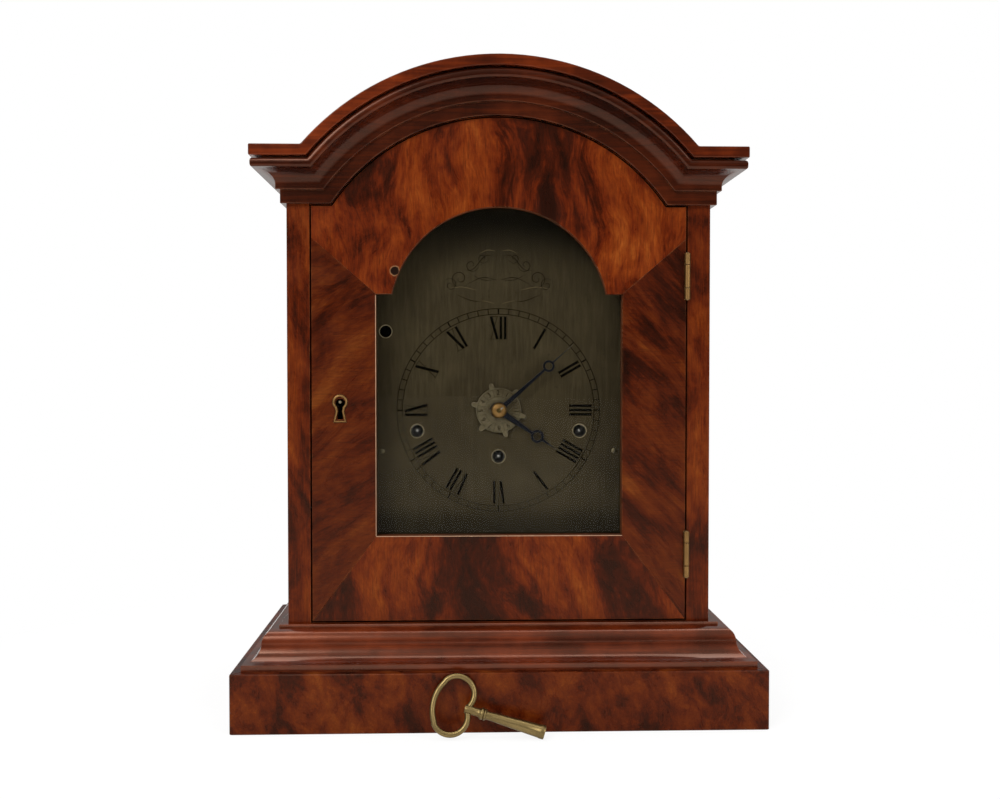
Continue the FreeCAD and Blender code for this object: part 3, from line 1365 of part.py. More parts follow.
def build_bell():
    """A bell over the movement on a bracket from the back plate."""
    axis = ("bell_span", "face+bell_setback")
    outside = bell_line("bell_radius", "bell_height")
    inside = bell_line("bell_radius-bell_wall", "bell_height-bell_wall")
    crown = [("bell_crown", "bell_top"), ("bell_hole", "bell_top"),
             ("bell_hole", "bell_under"), ("bell_crown", "bell_under")]
    keep("bell", faceted("bell", "Z", *axis, "0", "large_sides",
                         outside + crown + inside[::-1]))
    post = faceted("bell_post", "Z", *axis, "0", "small_sides", [
        ("0", "stand_high"), ("post_radius", "stand_high"), ("post_radius", "bell_under"),
        ("post_screw", "bell_under"), ("post_screw", "bell_top"),
        ("bell_nut_radius", "bell_top"), ("bell_nut_radius", "bell_top+bell_nut_height"),
        ("0", "bell_top+bell_nut_height")])
    arm_front = "face+bell_setback-stand_width/2"
    arm = board("stand_arm", "bell_span-stand_width/2", arm_front, "stand_low",
                "stand_width", "back_plate_back+stand_thickness-(%s)" % arm_front,
                "stand_thickness")
    foot = board("stand_foot", "bell_span-stand_foot_width/2", "back_plate_back",
                 "stand_high-stand_foot_drop", "stand_foot_width", "stand_thickness",
                 "stand_foot_drop")
    keep("bell_stand", fused("bell_stand", post, arm, foot))


def build_hammer():
    """The strike hammer: an arbor between the plates, an arm and a round head."""
    across = "-hammer_span"
    height = "dial_height+hammer_rise"
    front = "front_plate_back+arbor_end_shake"
    rear = "back_plate_front-arbor_end_shake"
    arbor = rod("hammer_arbor", "Y", across, front, height, "arbor_radius",
                "%s-(%s)" % (rear, front))
    line = "face+bell_setback"
    arm = board("hammer_arm_bar", across + "-hammer_arm/2", line + "-hammer_arm/2", height,
                "hammer_arm", "hammer_arm", "hammer_height-(%s)" % height)
    head = rod("hammer_head_block", "X",
               "bell_span-bell_radius-hammer_gap-hammer_head_length", line,
               "hammer_height", "hammer_head", "hammer_head_length")
    keep("strike_hammer", fused("strike_hammer", arbor, arm, head))


# ------------------------------------------------------------------ winding key
def key_bow():
    """The kidney-shaped bow, a flattened wire. Its middle line is six arcs, each tangent
    to the next: two lobes, the back between them and the dent where the stem starts."""
    lobe = value("key_lobe")
    half_wire = value("key_wire_width") / 2
    lobe_centre = Vector(-value("key_lobe_back"), 0, value("key_lobe_rise"))
    apart = lobe_centre.z ** 2
    width = value("key_bow_half_width")
    inside = width - lobe
    back_x = (inside ** 2 - lobe_centre.x ** 2 - apart) / (2 * (lobe_centre.x - inside))
    dent_x = -value("key_dent")
    span = dent_x - lobe_centre.x
    dent_radius = (lobe ** 2 - apart - span ** 2) / (2 * (span - lobe))
    back_centre = Vector(back_x, 0, 0)
    dent_centre = Vector(dent_x + dent_radius, 0, 0)
    back_way = (lobe_centre - back_centre).normalize()
    dent_way = (dent_centre - lobe_centre).normalize()

    def flip(point):
        return Vector(point.x, 0, -point.z)

    def outline(grow):
        radius = lobe + grow
        back_join = lobe_centre + back_way * radius
        dent_join = lobe_centre + dent_way * radius
        top = lobe_centre + Vector(0, 0, radius)
        back_middle = back_centre - Vector(back_x + width + grow, 0, 0)
        dent_middle = dent_centre - Vector(dent_radius - grow, 0, 0)
        return Part.Face(Part.Wire([
            Part.Arc(flip(back_join), back_middle, back_join).toShape(),
            Part.Arc(back_join, top, dent_join).toShape(),
            Part.Arc(dent_join, dent_middle, flip(dent_join)).toShape(),
            Part.Arc(flip(dent_join), flip(top), flip(back_join)).toShape()]))

    thickness = value("key_wire_thickness")
    flat = outline(half_wire).cut(outline(-half_wire))
    flat.translate(Vector(0, -thickness / 2, 0))
    return flat.extrude(Vector(0, thickness, 0))


def build_key():
    """The winding key, resting on its bow and its tip with the bow against the plinth."""
    neck = value("key_neck")
    ring = value("key_ring_radius")
    start = value("key_ring_start")
    swell = value("key_swell_start")
    length = value("key_length")
    heel = value("-key_dent-key_wire_width/2")
    ring_end = start + value("key_ring_width")
    stem = facet_solid("middle_sides", [
        (0, heel), (neck, heel), (neck, start), (ring, start), (ring, ring_end),
        (neck, ring_end), (neck, swell), (value("key_tip_radius"), length), (0, length)])
    stem.rotate(Vector(), ALONG_Y, 90)
    half = value("square_size+key_socket_play") / 2
    depth = value("key_socket_depth")
    socket = Part.makeBox(depth, 2 * half, 2 * half, Vector(length - depth, -half, -half))
    shape = stem.fuse(key_bow()).cut(socket).removeSplitter()
    lean = Rotation(Vector(1, 0, 0), -value("key_lean"))
    shape.Placement = Placement(Vector(), lean.multiply(
        Rotation(ALONG_Y, value("key_turn"))))
    bounds = shape.optimalBoundingBox()
    thing = doc.addObject("Part::Feature", "winding_key")
    thing.Shape = Part.Compound([shape])
    thing.Placement = Placement(Vector(
        value("key_place"), value("-plinth_depth/2-fit_gap") - bounds.YMax,
        -bounds.ZMin), Rotation())
    keep("winding_key", thing)


# ------------------------------------------------------------------ the whole clock
def check_and_write():
    """Recomputes, stops on any failed object, and writes one file for each sub-part."""
    doc.recompute()
    for thing in doc.Objects:
        if "Invalid" in thing.State or "Error" in thing.State:
            raise RuntimeError("%s failed: %s" % (thing.Label, thing.State))
    for node, thing in SUBPARTS.items():
        shape = thing.Shape
        if shape.isNull() or not shape.isValid() or not shape.Solids:
            raise RuntimeError("%s has no valid solid" % node)
    for node, thing in SUBPARTS.items():
        thing.Shape.exportStep("parts/%s.step" % node)
    print("%d sub-parts written" % len(SUBPARTS))


build_plinth()
build_base_moulding()
build_sides()
build_rails()
build_cap()
build_cornice()
build_door()
build_lock()
build_hinges()
build_rear_door()
build_dial()
build_hands()
build_alarm_disc()
build_plates()
build_movement_frame()
build_going_train()
build_motion_work()
build_barrels()
build_pallets()
build_back_cock()
build_pendulum()
build_bell()
build_hammer()
build_key()
check_and_write()
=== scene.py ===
"""The looks of an arched mahogany bracket clock, built round its fixed frame.

X runs to the right, Y away from the camera and Z up. Shapes are given in millimetres,
and the patterns of the materials in metres.
"""
import math

import bmesh
import bpy
from mathutils import Matrix, Vector


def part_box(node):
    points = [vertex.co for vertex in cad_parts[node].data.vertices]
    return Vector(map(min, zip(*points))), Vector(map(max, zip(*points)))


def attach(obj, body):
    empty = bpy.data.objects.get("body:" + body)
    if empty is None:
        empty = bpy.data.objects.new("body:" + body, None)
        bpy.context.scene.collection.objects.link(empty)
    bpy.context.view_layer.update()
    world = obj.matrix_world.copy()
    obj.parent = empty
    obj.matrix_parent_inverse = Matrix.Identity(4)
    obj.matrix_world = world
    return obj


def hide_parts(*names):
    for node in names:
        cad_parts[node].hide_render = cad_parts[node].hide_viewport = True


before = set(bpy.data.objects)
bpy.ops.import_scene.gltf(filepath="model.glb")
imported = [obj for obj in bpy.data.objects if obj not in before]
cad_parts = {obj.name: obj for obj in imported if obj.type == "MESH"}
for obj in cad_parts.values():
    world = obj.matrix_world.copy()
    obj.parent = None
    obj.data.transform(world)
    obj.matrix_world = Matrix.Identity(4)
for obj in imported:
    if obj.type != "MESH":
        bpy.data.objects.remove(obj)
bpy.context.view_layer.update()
MM = 0.001

# Sizes that the frame also has, in millimetres.
FACE, BACK = -73.5, 104.0  # the case, in front and behind
HALF_CASE = 130.5
PLINTH_WIDE, PLINTH_DEEP, PLINTH_TOP = 161.0, 104.0, 36  # half its width and depth
BOARD = 18
ARCH = 246.8  # the height of the arch's centre
DIAL_UP = 190.5  # the height of the dial's centre
DIAL_FACE = -51.5
WINDING_HOLES = ((0, 161), (-51.7, 177.3), (51.7, 177.3))
PLAIN_HOLE = (-71.5, 240.5)
DISC, DISC_TURN = 14.3, 43.4  # the alarm disc's radius, and where its first lug points
HINGE, HINGE_LEVELS = 116.0, (101.6, 273.9)
PILLARS = [(x, z) for x in (-66, 66) for z in (116, 242)]

CAP_MIDDLE = 155.0  # a radius between the cap's two faces

# Radii of the engraving on the dial and the alarm disc, and how far it stands proud.
NUMERAL_FOOT, NUMERAL_HEAD = 45.2, 59.4
TRACK_INSIDE, TRACK_OUTSIDE = 61.0, 64.5
FIGURES_INSIDE, FIGURES_OUTSIDE = 8.7, 13.4
PROUD = 0.03

WARM_GLOSS = (1.0, 0.56, 0.40, 1)  # what old shellac does to a reflection


# ------------ materials
class Nodes:
    """A node tree being put together."""

    def __init__(self, owner, output):
        owner.use_nodes = True
        self.tree = owner.node_tree
        self.tree.nodes.clear()
        self.output = self.add(output)

    def add(self, kind, inputs=(), **settings):
        """A node whose inputs are linked to sockets or hold values of their own."""
        node = self.tree.nodes.new("ShaderNode" + kind)
        for name, setting in settings.items():
            setattr(node, name, setting)
        for name, entry in dict(inputs).items():
            if isinstance(entry, bpy.types.NodeSocket):
                self.link(entry, node.inputs[name])
            else:
                node.inputs[name].default_value = entry
        return node

    def link(self, source, target):
        self.tree.links.new(source, target)

    def sums(self, kind, first, second):
        return self.add("Math", {0: first, 1: second}, operation=kind).outputs[0]

    def grey(self, factor, low, high, dark=0.0, light=1.0, **settings):
        return self.add("MapRange", {
            "Value": factor, "From Min": low, "From Max": high, "To Min": dark,
            "To Max": light}, **settings).outputs[0]

    def seen(self):
        """1 for what the camera sees, also through glass, and 0 for light and mirrors."""
        rays = self.add("LightPath")
        return self.sums("MAXIMUM", rays.outputs["Is Camera Ray"],
                         rays.outputs["Is Transmission Ray"])

    def end_with(self, share, first, second):
        """Two shaders, mixed, are what the tree gives."""
        mixed = self.add("MixShader", {0: share, 1: first.outputs[0], 2: second.outputs[0]})
        self.link(mixed.outputs[0], self.output.inputs[0])


class Finish(Nodes):
    """A node material. Every pattern hangs on the piece's own points."""

    def __init__(self, name, roughness, metallic=0.0, specular=0.5, tint=(1, 1, 1, 1)):
        self.material = bpy.data.materials.new(name)
        super().__init__(self.material, "OutputMaterial")
        self.shader = self.add("BsdfPrincipled", {
            "Roughness": roughness, "Metallic": metallic, "Specular IOR Level": specular,
            "Specular Tint": tint})
        self.link(self.shader.outputs[0], self.output.inputs[0])
        self.place = self.add("TexCoord").outputs["Object"]

    def stretched(self, scale, shift=(0, 0, 0)):
        """The place, scaled differently along each axis so that a pattern runs one way."""
        return self.add("Mapping", {"Vector": self.place, "Location": shift,
                                    "Scale": scale}).outputs[0]

    def noise(self, vector, scale, detail=4.0, roughness=0.55, distortion=0.0):
        return self.add("TexNoise", {
            "Vector": vector, "Scale": scale, "Detail": detail, "Roughness": roughness,
            "Distortion": distortion}).outputs["Fac"]

    def ramp(self, factor, *stops, tone=1.0, shift=0.0):
        """Colours along a factor: stops are (position, (r, g, b)) in linear light."""
        node = self.add("ValToRGB", {"Fac": factor})
        elements = node.color_ramp.elements
        for element in elements[1:]:
            elements.remove(element)
        elements[0].position = shift + stops[0][0]
        for index, (position, light) in enumerate(stops):
            element = elements.new(shift + position) if index else elements[0]
            element.color = (*(tone * side for side in light), 1)
        return node.outputs["Color"]

    def mix(self, factor, first, second):
        """Two colours, each a socket or (r, g, b)."""
        first, second = (side if isinstance(side, bpy.types.NodeSocket) else (*side, 1)
                         for side in (first, second))
        return self.add("Mix", {0: factor, 6: first, 7: second},
                        data_type="RGBA").outputs[2]

    def worn(self, colour, light, amount, radius=0.0012):
        """Lightens the arrises, where polish and hands have rubbed the surface."""
        bevel = self.add("Bevel", {"Radius": radius}, samples=4).outputs[0]
        normal = self.add("NewGeometry").outputs["Normal"]
        turn = self.add("VectorMath", {0: bevel, 1: normal}, operation="DOT_PRODUCT")
        edge = self.grey(turn.outputs["Value"], 0.98, 0.75)
        spots = self.grey(self.noise(self.place, 120.0), 0.4, 0.62)
        return self.mix(self.sums("MULTIPLY", self.sums("MULTIPLY", edge, spots), amount),
                        colour, light)

    def raw_inside(self, gloss, colour):
        """Bare unpolished wood on the faces that look into the case."""
        axes = self.add("SeparateXYZ", {"Vector": self.place})
        wide = self.sums("LESS_THAN", self.sums("ABSOLUTE", axes.outputs["X"], 0.0),
                         (HALF_CASE - 1) * MM)
        middle = self.add("VectorMath", {0: self.place, 1: (1, 0, 1)}, operation="MULTIPLY")
        away = self.add("VectorMath", {0: middle.outputs[0], 1: (0, 0, ARCH * MM)},
                        operation="DISTANCE").outputs["Value"]
        low = self.sums("LESS_THAN", axes.outputs["Z"], ARCH * MM)
        under = self.sums("MAXIMUM", low, self.sums("LESS_THAN", away, CAP_MIDDLE * MM))
        behind = self.sums("LESS_THAN", axes.outputs["Y"], (BACK - 1) * MM)
        ahead = self.sums("GREATER_THAN", axes.outputs["Y"], (FACE + 1) * MM)
        inside = self.sums("MULTIPLY", self.sums("MULTIPLY", wide, under),
                           self.sums("MULTIPLY", behind, ahead))
        return (self.mix(inside, gloss, (0.8, 0.8, 0.8)),
                self.mix(self.sums("MULTIPLY", inside, 0.55), colour, (0.075, 0.030, 0.012)))

    def finish(self, colour, roughness=None, height=None, depth=0.0002):
        self.link(colour, self.shader.inputs["Base Color"])
        if roughness is not None:
            self.link(roughness, self.shader.inputs["Roughness"])
        if height is not None:
            bump = self.add("Bump", {"Strength": 0.5, "Distance": depth, "Height": height})
            self.link(bump.outputs[0], self.shader.inputs["Normal"])
        return self.material


def veneer(name, along, seed, plume=None, lean=0.0, contrast=1.0, tone=1.0, chip=None):
    """Figured mahogany: soft clouds, swirling flame, feathers, fine fibres and pores.

    along stretches the figure in X, Y and Z and lean slants it. plume is the X of a
    crotch, from which dark feathers fall to both sides, and chip the middle of a place
    where the veneer has broken away."""
    wood = Finish(name, 0.30, specular=0.20, tint=WARM_GLOSS)
    axes = wood.add("SeparateXYZ", {"Vector": wood.place})
    side, up = axes.outputs["X"], axes.outputs["Z"]
    wander = wood.noise(wood.place, 7.0, 3.0)
    if plume is not None:
        middle = wood.sums("ADD", wood.sums("MULTIPLY", wander, 0.07), plume - 0.035)
        side = wood.sums("ABSOLUTE", wood.sums("SUBTRACT", side, middle), 0.0)
    slant = wood.sums("ADD", up, wood.sums("MULTIPLY", side, lean))
    field = wood.add("CombineXYZ", {"X": side, "Y": axes.outputs["Y"], "Z": slant})
    mapped = wood.add("Mapping", {"Vector": field.outputs[0], "Scale": along,
                                  "Location": (seed, seed, seed)}).outputs[0]
    cloud = wood.noise(mapped, 7.5, 3.0, 0.5, 2.6)
    flame = wood.noise(mapped, 17.0, 7.0, 0.60, 2.2)
    feather = wood.noise(mapped, 60.0, 7.0, 0.70, 1.4)
    drawn = wood.add("Mapping", {"Vector": mapped, "Scale": tuple(
        scale ** 2.2 for scale in along)}).outputs[0]
    streak = wood.noise(drawn, 95.0, 5.0, 0.68, 1.8)
    mottle = wood.noise(wood.stretched((1, 1, 1), shift=(seed, 0, seed)), 190.0, 5.0, 0.7)
    whole = 0.0
    for pattern, share in ((cloud, 0.44 * contrast), (flame, 0.40 * contrast),
                           (feather, 0.20), (streak, 0.20), (mottle, 0.10)):
        whole = wood.sums("ADD", wood.sums("MULTIPLY", pattern, share), whole)
    if plume is not None:
        dark = wood.sums("MULTIPLY", wood.grey(side, 0.020, 0.003), flame)
        whole = wood.sums("SUBTRACT", whole, wood.sums("MULTIPLY", dark, 0.24))
    middle = 0.42 * contrast + 0.25
    stops = ((-0.13, (0.008, 0.0013, 0.0004)), (-0.06, (0.034, 0.0038, 0.0006)),
             (0.00, (0.094, 0.0110, 0.0012)), (0.08, (0.165, 0.0270, 0.0026)),
             (0.17, (0.260, 0.0600, 0.0070)))
    colour = wood.ramp(whole, *stops, tone=tone, shift=middle)
    fine = tuple(60.0 if scale < 1 else 900.0 for scale in along)
    fibres = wood.noise(wood.stretched(fine), 1.0, 3.0, 0.7)
    pores = wood.grey(wood.noise(wood.stretched(tuple(2.2 * f for f in fine)), 1.0, 1.0),
                      0.28, 0.40)
    colour = wood.mix(wood.grey(fibres, 0.35, 0.65, 0.0, 0.30), colour,
                      (0.020, 0.0024, 0.0005))
    colour = wood.mix(wood.grey(pores, 0.0, 1.0, 0.40, 0.0), colour, (0.006, 0.001, 0.0004))
    colour = wood.worn(colour, (0.26, 0.085, 0.025), 0.35)
    if chip:
        away = wood.add("VectorMath", {0: wood.place, 1: chip}, operation="DISTANCE")
        edge = wood.sums("ADD", away.outputs["Value"], wood.sums("MULTIPLY", feather, 0.003))
        colour = wood.mix(wood.grey(edge, 0.0050, 0.0042, 0.0, 0.9), colour,
                          (0.24, 0.13, 0.06))
        colour = wood.mix(wood.grey(edge, 0.0044, 0.0040), colour, (0.004, 0.0015, 0.001))
    gloss, colour = wood.raw_inside(wood.grey(flame, 0.3, 0.7, 0.22, 0.36), colour)
    return wood.finish(colour, gloss, fibres, 0.0001)


def moulding_wood(name, along, tone=1.0, polish=0.3):
    """Straight-grained dark mahogany under an old hard polish."""
    wood = Finish(name, 0.2, specular=polish, tint=WARM_GLOSS)
    streaks = wood.noise(wood.stretched(along), 1.0, 5.0, 0.6, 0.3)
    cloud = wood.noise(wood.place, 26.0, 4.0, 0.6)
    whole = wood.sums("ADD", wood.sums("MULTIPLY", streaks, 0.42),
                      wood.sums("MULTIPLY", cloud, 0.58))
    stops = ((0.30, (0.008, 0.0014, 0.0004)), (0.46, (0.030, 0.0038, 0.0007)),
             (0.58, (0.070, 0.0095, 0.0014)), (0.74, (0.125, 0.0220, 0.0035)))
    colour = wood.ramp(whole, *stops, tone=tone)
    colour = wood.worn(colour, (0.22, 0.075, 0.03), 0.45)
    gloss, colour = wood.raw_inside(wood.grey(cloud, 0.3, 0.7, 0.14, 0.24), colour)
    return wood.finish(colour, gloss, streaks, 0.0001)


def plain_wood(name, along, light, dark):
    """The oak of the inside, oiled and dusty."""
    wood = Finish(name, 0.62)
    grain = wood.noise(wood.stretched(along), 1.0, 6.0, 0.62, 0.5)
    dust = wood.noise(wood.place, 60.0, 5.0, 0.6)
    colour = wood.ramp(grain, (0.32, dark), (0.68, light))
    colour = wood.mix(wood.grey(dust, 0.45, 0.75, 0.0, 0.35), colour, (0.10, 0.075, 0.05))
    return wood.finish(colour, wood.grey(dust, 0.3, 0.7, 0.5, 0.75), grain, 0.0003)


def metal(name, bright, dull, roughness, brushing=None, stain=0.5, edge=None):
    """Old metal: bright where it is rubbed, stained in clouds, with fine tool marks."""
    ware = Finish(name, roughness, metallic=1.0)
    clouds = ware.noise(ware.place, 70.0, 5.0, 0.55)
    specks = ware.noise(ware.place, 900.0, 3.0, 0.6)
    colour = ware.mix(ware.grey(clouds, 0.36, 0.66, 0.0, stain), bright, dull)
    colour = ware.mix(ware.grey(specks, 0.60, 0.75, 0.0, 0.45), colour,
                      tuple(side * 0.3 for side in dull))
    colour = ware.worn(colour, edge or bright, 0.6, 0.0005)
    marks = specks
    if brushing:
        marks = ware.noise(ware.stretched(brushing), 1.0, 2.0, 0.6)
    gloss = ware.grey(clouds, 0.3, 0.7, roughness * 0.8, roughness * 1.5)
    return ware.finish(colour, gloss, marks, 0.00002)


def silvered(name):
    """The dial's brown-grey silvering, wiped and foxed, with painted shade in the arch and at
    the foot.
    """
    plate = Finish(name, 0.55, metallic=0.3, specular=0.06)
    wipes = plate.noise(plate.stretched((500, 40, 45)), 1.0, 5.0, 0.65, 0.4)
    clouds = plate.noise(plate.place, 24.0, 6.0, 0.6, 0.5)
    spots = plate.noise(plate.place, 420.0, 4.0, 0.6)
    colour = plate.ramp(clouds, (0.30, (0.026, 0.019, 0.010)), (0.55, (0.036, 0.027, 0.014)),
                        (0.75, (0.050, 0.038, 0.021)))
    colour = plate.mix(plate.grey(wipes, 0.42, 0.70, 0.0, 0.35), colour,
                       (0.075, 0.061, 0.036))
    colour = plate.mix(plate.grey(spots, 0.62, 0.74, 0.0, 0.5), colour,
                       (0.012, 0.009, 0.005))
    # Painted shade: the silvering is darkened towards the top of the arch and towards the foot
    # of the dial, where the door's frame shades it.
    up = plate.add("SeparateXYZ", {"Vector": plate.place}).outputs["Z"]
    wavy = plate.sums("ADD", up, plate.sums("MULTIPLY", clouds, 0.012))
    high = plate.grey(wavy, 0.278, 0.318, 0.0, 0.95, interpolation_type="SMOOTHSTEP")
    low = plate.grey(up, 0.132, 0.119, 0.0, 0.5, interpolation_type="SMOOTHSTEP")
    colour = plate.mix(plate.sums("MAXIMUM", high, low), colour, (0.006, 0.0045, 0.002))
    return plate.finish(colour, plate.grey(clouds, 0.3, 0.7, 0.48, 0.66))


def wax(name, colour, roughness):
    """Wax or tarnish in an engraved line, broken by wear."""
    line = Finish(name, roughness, specular=0.0)
    wear = line.noise(line.place, 420.0, 5.0, 0.6)
    return line.finish(line.mix(line.grey(wear, 0.52, 0.76, 0.0, 0.6), colour,
                                tuple(side * 2.2 + 0.004 for side in colour)))


def clear_glass(name):
    """Thin old window glass: it lets light straight through and mirrors a little of it."""
    pane = Finish(name, 0.02)
    pane.tree.nodes.remove(pane.shader)
    through = pane.add("BsdfTransparent", {"Color": (0.95, 0.95, 0.92, 1)})
    ripple = pane.noise(pane.place, 14.0, 1.0)
    bump = pane.add("Bump", {"Strength": 0.1, "Distance": 0.0004, "Height": ripple})
    mirror = pane.add("BsdfGlossy", {"Roughness": 0.0, "Normal": bump.outputs[0]})
    sheen = pane.add("Fresnel", {"IOR": 1.13})
    pane.end_with(sheen.outputs[0], through, mirror)
    return pane.material


M = {
    "head": veneer("flame_veneer_head", (1.4, 1.0, 0.75), 3.1, 0.030, 0.9, tone=0.95,
                   chip=(-0.0645, -0.0735, 0.2770)),
    "stile_lock": veneer("flame_veneer_lock", (0.75, 1.0, 1.4), 7.7, None, -0.5,
                         1.0, 0.47),
    "stile_hinge": veneer("flame_veneer_hinge", (0.75, 1.0, 1.4), 12.4, None, 0.9,
                          1.1, 0.50),
    "bottom": veneer("flame_veneer_bottom", (1.3, 1.0, 0.8), 17.9, -0.012, 0.8,
                     1.0, 0.85),
    "side": veneer("mahogany_side", (1.7, 1.5, 0.7), 23.3, None, 0.2, 0.9, 0.75),
    "plinth": veneer("plinth_veneer", (2.0, 2.0, 1.6), 29.5, None, 0.4, 1.0, 0.62),
    "rear": veneer("mahogany_rear", (1.9, 1.0, 0.6), 35.2, None, 0.1, 0.7),
    "moulding": moulding_wood("polished_moulding", (14, 40, 420), 0.62, 0.36),
    "cap": moulding_wood("cap_board", (14, 40, 420), 1.5),
    "base": moulding_wood("base_moulding", (14, 40, 420), 1.3, 0.7),
    "oak": plain_wood("oiled_oak", (30, 400, 400), (0.16, 0.085, 0.035), (0.07, 0.034, 0.014)),
    "brass": metal("aged_brass", (0.24, 0.135, 0.048), (0.075, 0.038, 0.014), 0.38,
                   edge=(0.62, 0.48, 0.28)),
    "plate_brass": metal("plate_brass", (0.50, 0.34, 0.125), (0.33, 0.21, 0.075), 0.34,
                         (30, 30, 900), 0.3),
    "wheel_brass": metal("wheel_brass", (0.66, 0.47, 0.18), (0.38, 0.24, 0.08), 0.26),
    "key_brass": metal("key_brass", (0.23, 0.165, 0.068), (0.065, 0.045, 0.018), 0.32,
                       edge=(0.72, 0.58, 0.34)),
    "bell": metal("bell_metal", (0.58, 0.45, 0.24), (0.30, 0.21, 0.10), 0.22, (20, 20, 1100)),
    "steel": metal("old_steel", (0.36, 0.36, 0.37), (0.12, 0.11, 0.10), 0.33),
    "blued": metal("blued_steel", (0.011, 0.012, 0.018), (0.006, 0.006, 0.007), 0.36,
                   edge=(0.10, 0.10, 0.11)),
    "silvered": silvered("silvered_dial"),
    "disc": metal("silvered_disc", (0.15, 0.125, 0.08), (0.05, 0.038, 0.022), 0.42, stain=0.8,
                  edge=(0.62, 0.56, 0.42)),
    "rim": metal("rubbed_rim", (0.26, 0.215, 0.14), (0.07, 0.055, 0.03), 0.36,
                 edge=(0.5, 0.43, 0.3)),
    "wax": wax("black_wax", (0.0016, 0.0013, 0.0010), 0.7),
    "faint": wax("worn_engraving", (0.003, 0.0022, 0.0012), 0.7),
    "gilt": wax("bright_engraving", (0.105, 0.082, 0.045), 0.5),
    "dust": wax("pale_edge", (0.34, 0.22, 0.14), 0.7),
    "glass": clear_glass("window_glass"),
}


# ------------ frame pieces
def soften(node, material, edge):
    """A frame piece with its true shape, eased arrises and a finish of its own."""
    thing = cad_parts[node]
    thing.data.materials.clear()
    thing.data.materials.append(material)
    for polygon in thing.data.polygons:
        polygon.use_smooth = True
    weld = thing.modifiers.new("weld", "WELD")
    weld.merge_threshold = 0.00001
    flat = thing.modifiers.new("flat", "DECIMATE")
    flat.decimate_type = "DISSOLVE"
    flat.angle_limit = math.radians(0.5)
    if edge:
        bevel = thing.modifiers.new("arris", "BEVEL")
        bevel.width = edge
        bevel.segments = 2
        bevel.limit_method = "ANGLE"
        bevel.angle_limit = math.radians(34)
        bevel.use_clamp_overlap = True
    normals = thing.modifiers.new("normals", "WEIGHTED_NORMAL")
    normals.keep_sharp = True


# The material and the width of the eased arrises, and the frame's pieces that have them.
KEPT = {
    ("oak", 0.0004): "base_board",
    ("side", 0.0005): "side_left side_right",
    ("moulding", 0.0003): "sill_rails",
    ("head", 0.0002): "front_arch_rail",
    ("rear", 0.0003): "rear_arch_rail",
    ("cap", 0.0007): "cap",
    ("head", 0.00018): "door_head",
    ("stile_lock", 0.00018): "door_stile_lock",
    ("stile_hinge", 0.00018): "door_stile_hinge",
    ("bottom", 0.00018): "door_bottom_rail",
    ("moulding", 0.0008): "door_beads",
    ("glass", 0): "door_glass rear_door_glass",
    ("rear", 0.0005): "rear_door_frame",
    ("plate_brass", 0.0003): "lock_case front_plate back_plate",
    ("steel", 0.0003): "lock_bolt bell_stand strike_hammer",
    ("silvered", 0.0002): "dial_plate",
    ("plate_brass", 0.0002): "dial_feet",
    ("blued", 0.00018): "minute_hand hour_hand",
    ("oak", 0.0005): "seat_board",
    ("steel", 0.0005): "seat_bolts",
    ("wheel_brass", 0): "centre_arbor third_wheel escape_wheel minute_wheel hour_wheel "
                        "going_barrel strike_barrel alarm_barrel",
    ("steel", 0): "cannon_pinion going_winding_arbor strike_winding_arbor alarm_winding_arbor "
                  "pendulum_rod",
    ("steel", 0.0001): "pallets",
    ("plate_brass", 0.0004): "back_cock",
    ("brass", 0.0002): "rear_hinge_case_leaves rear_hinge_door_leaves",
}
for (material, edge), names in KEPT.items():
    for name in names.split():
        soften(name, M[material], edge)


# ------------ mesh helpers
def piece(name, vertices, faces, material, body, smooth=40, merge=True):
    """A mesh from millimetres; faces that meet at a small angle are shaded smoothly."""
    mesh = bpy.data.meshes.new(name)
    mesh.from_pydata([Vector(v) * MM for v in vertices], [], faces)
    form = bmesh.new()
    form.from_mesh(mesh)
    if merge:
        bmesh.ops.remove_doubles(form, verts=form.verts, dist=0.000002)
    bmesh.ops.recalc_face_normals(form, faces=form.faces)
    form.to_mesh(mesh)
    form.free()
    for polygon in mesh.polygons:
        polygon.use_smooth = True
    mesh.set_sharp_from_angle(angle=math.radians(smooth))
    mesh.materials.append(material)
    thing = bpy.data.objects.new(name, mesh)
    bpy.context.scene.collection.objects.link(thing)
    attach(thing, body)
    return thing


def grid(rows, length, closed_rows=False, closed_row=True):
    """The faces between rows of points that lie one after another, length to a row."""
    faces = []
    for row in range(rows if closed_rows else rows - 1):
        following = (row + 1) % rows
        for step in range(length if closed_row else length - 1):
            after = (step + 1) % length
            faces.append((row * length + step, row * length + after,
                          following * length + after, following * length + step))
    return faces


def lathe(profile, origin, way, sides=64):
    """A turned form: profile is (radius, place along the axis), and way is the axis."""
    axis = Vector(way).normalized()
    side = axis.orthogonal().normalized()
    up = axis.cross(side)
    vertices = []
    for radius, along in profile:
        for step in range(sides):
            angle = 2 * math.pi * step / sides
            vertices.append(Vector(origin) + axis * along
                            + (side * math.cos(angle) + up * math.sin(angle)) * radius)
    return vertices, grid(len(profile), sides)


def capped(first, second):
    """A closed form between two outlines."""
    count = len(first)
    return first + second, [tuple(range(count)), tuple(range(count, 2 * count)),
                            *grid(2, count)]


def block(low, high, ease=0.0):
    """A box, its upright arrises cut back a little."""
    x0, y0, z0 = low
    x1, y1, z1 = high
    plan = [(x0 + ease, y0), (x1 - ease, y0), (x1, y0 + ease), (x1, y1 - ease),
            (x1 - ease, y1), (x0 + ease, y1), (x0, y1 - ease), (x0, y0 + ease)]
    if not ease:
        plan = [(x0, y0), (x1, y0), (x1, y1), (x0, y1)]
    return capped([(x, y, z0) for x, y in plan], [(x, y, z1) for x, y in plan])


def together(*parts):
    """Several bare forms as one."""
    vertices, faces = [], []
    for more, sides in parts:
        start = len(vertices)
        vertices += list(more)
        faces += [tuple(start + index for index in face) for face in sides]
    return vertices, faces


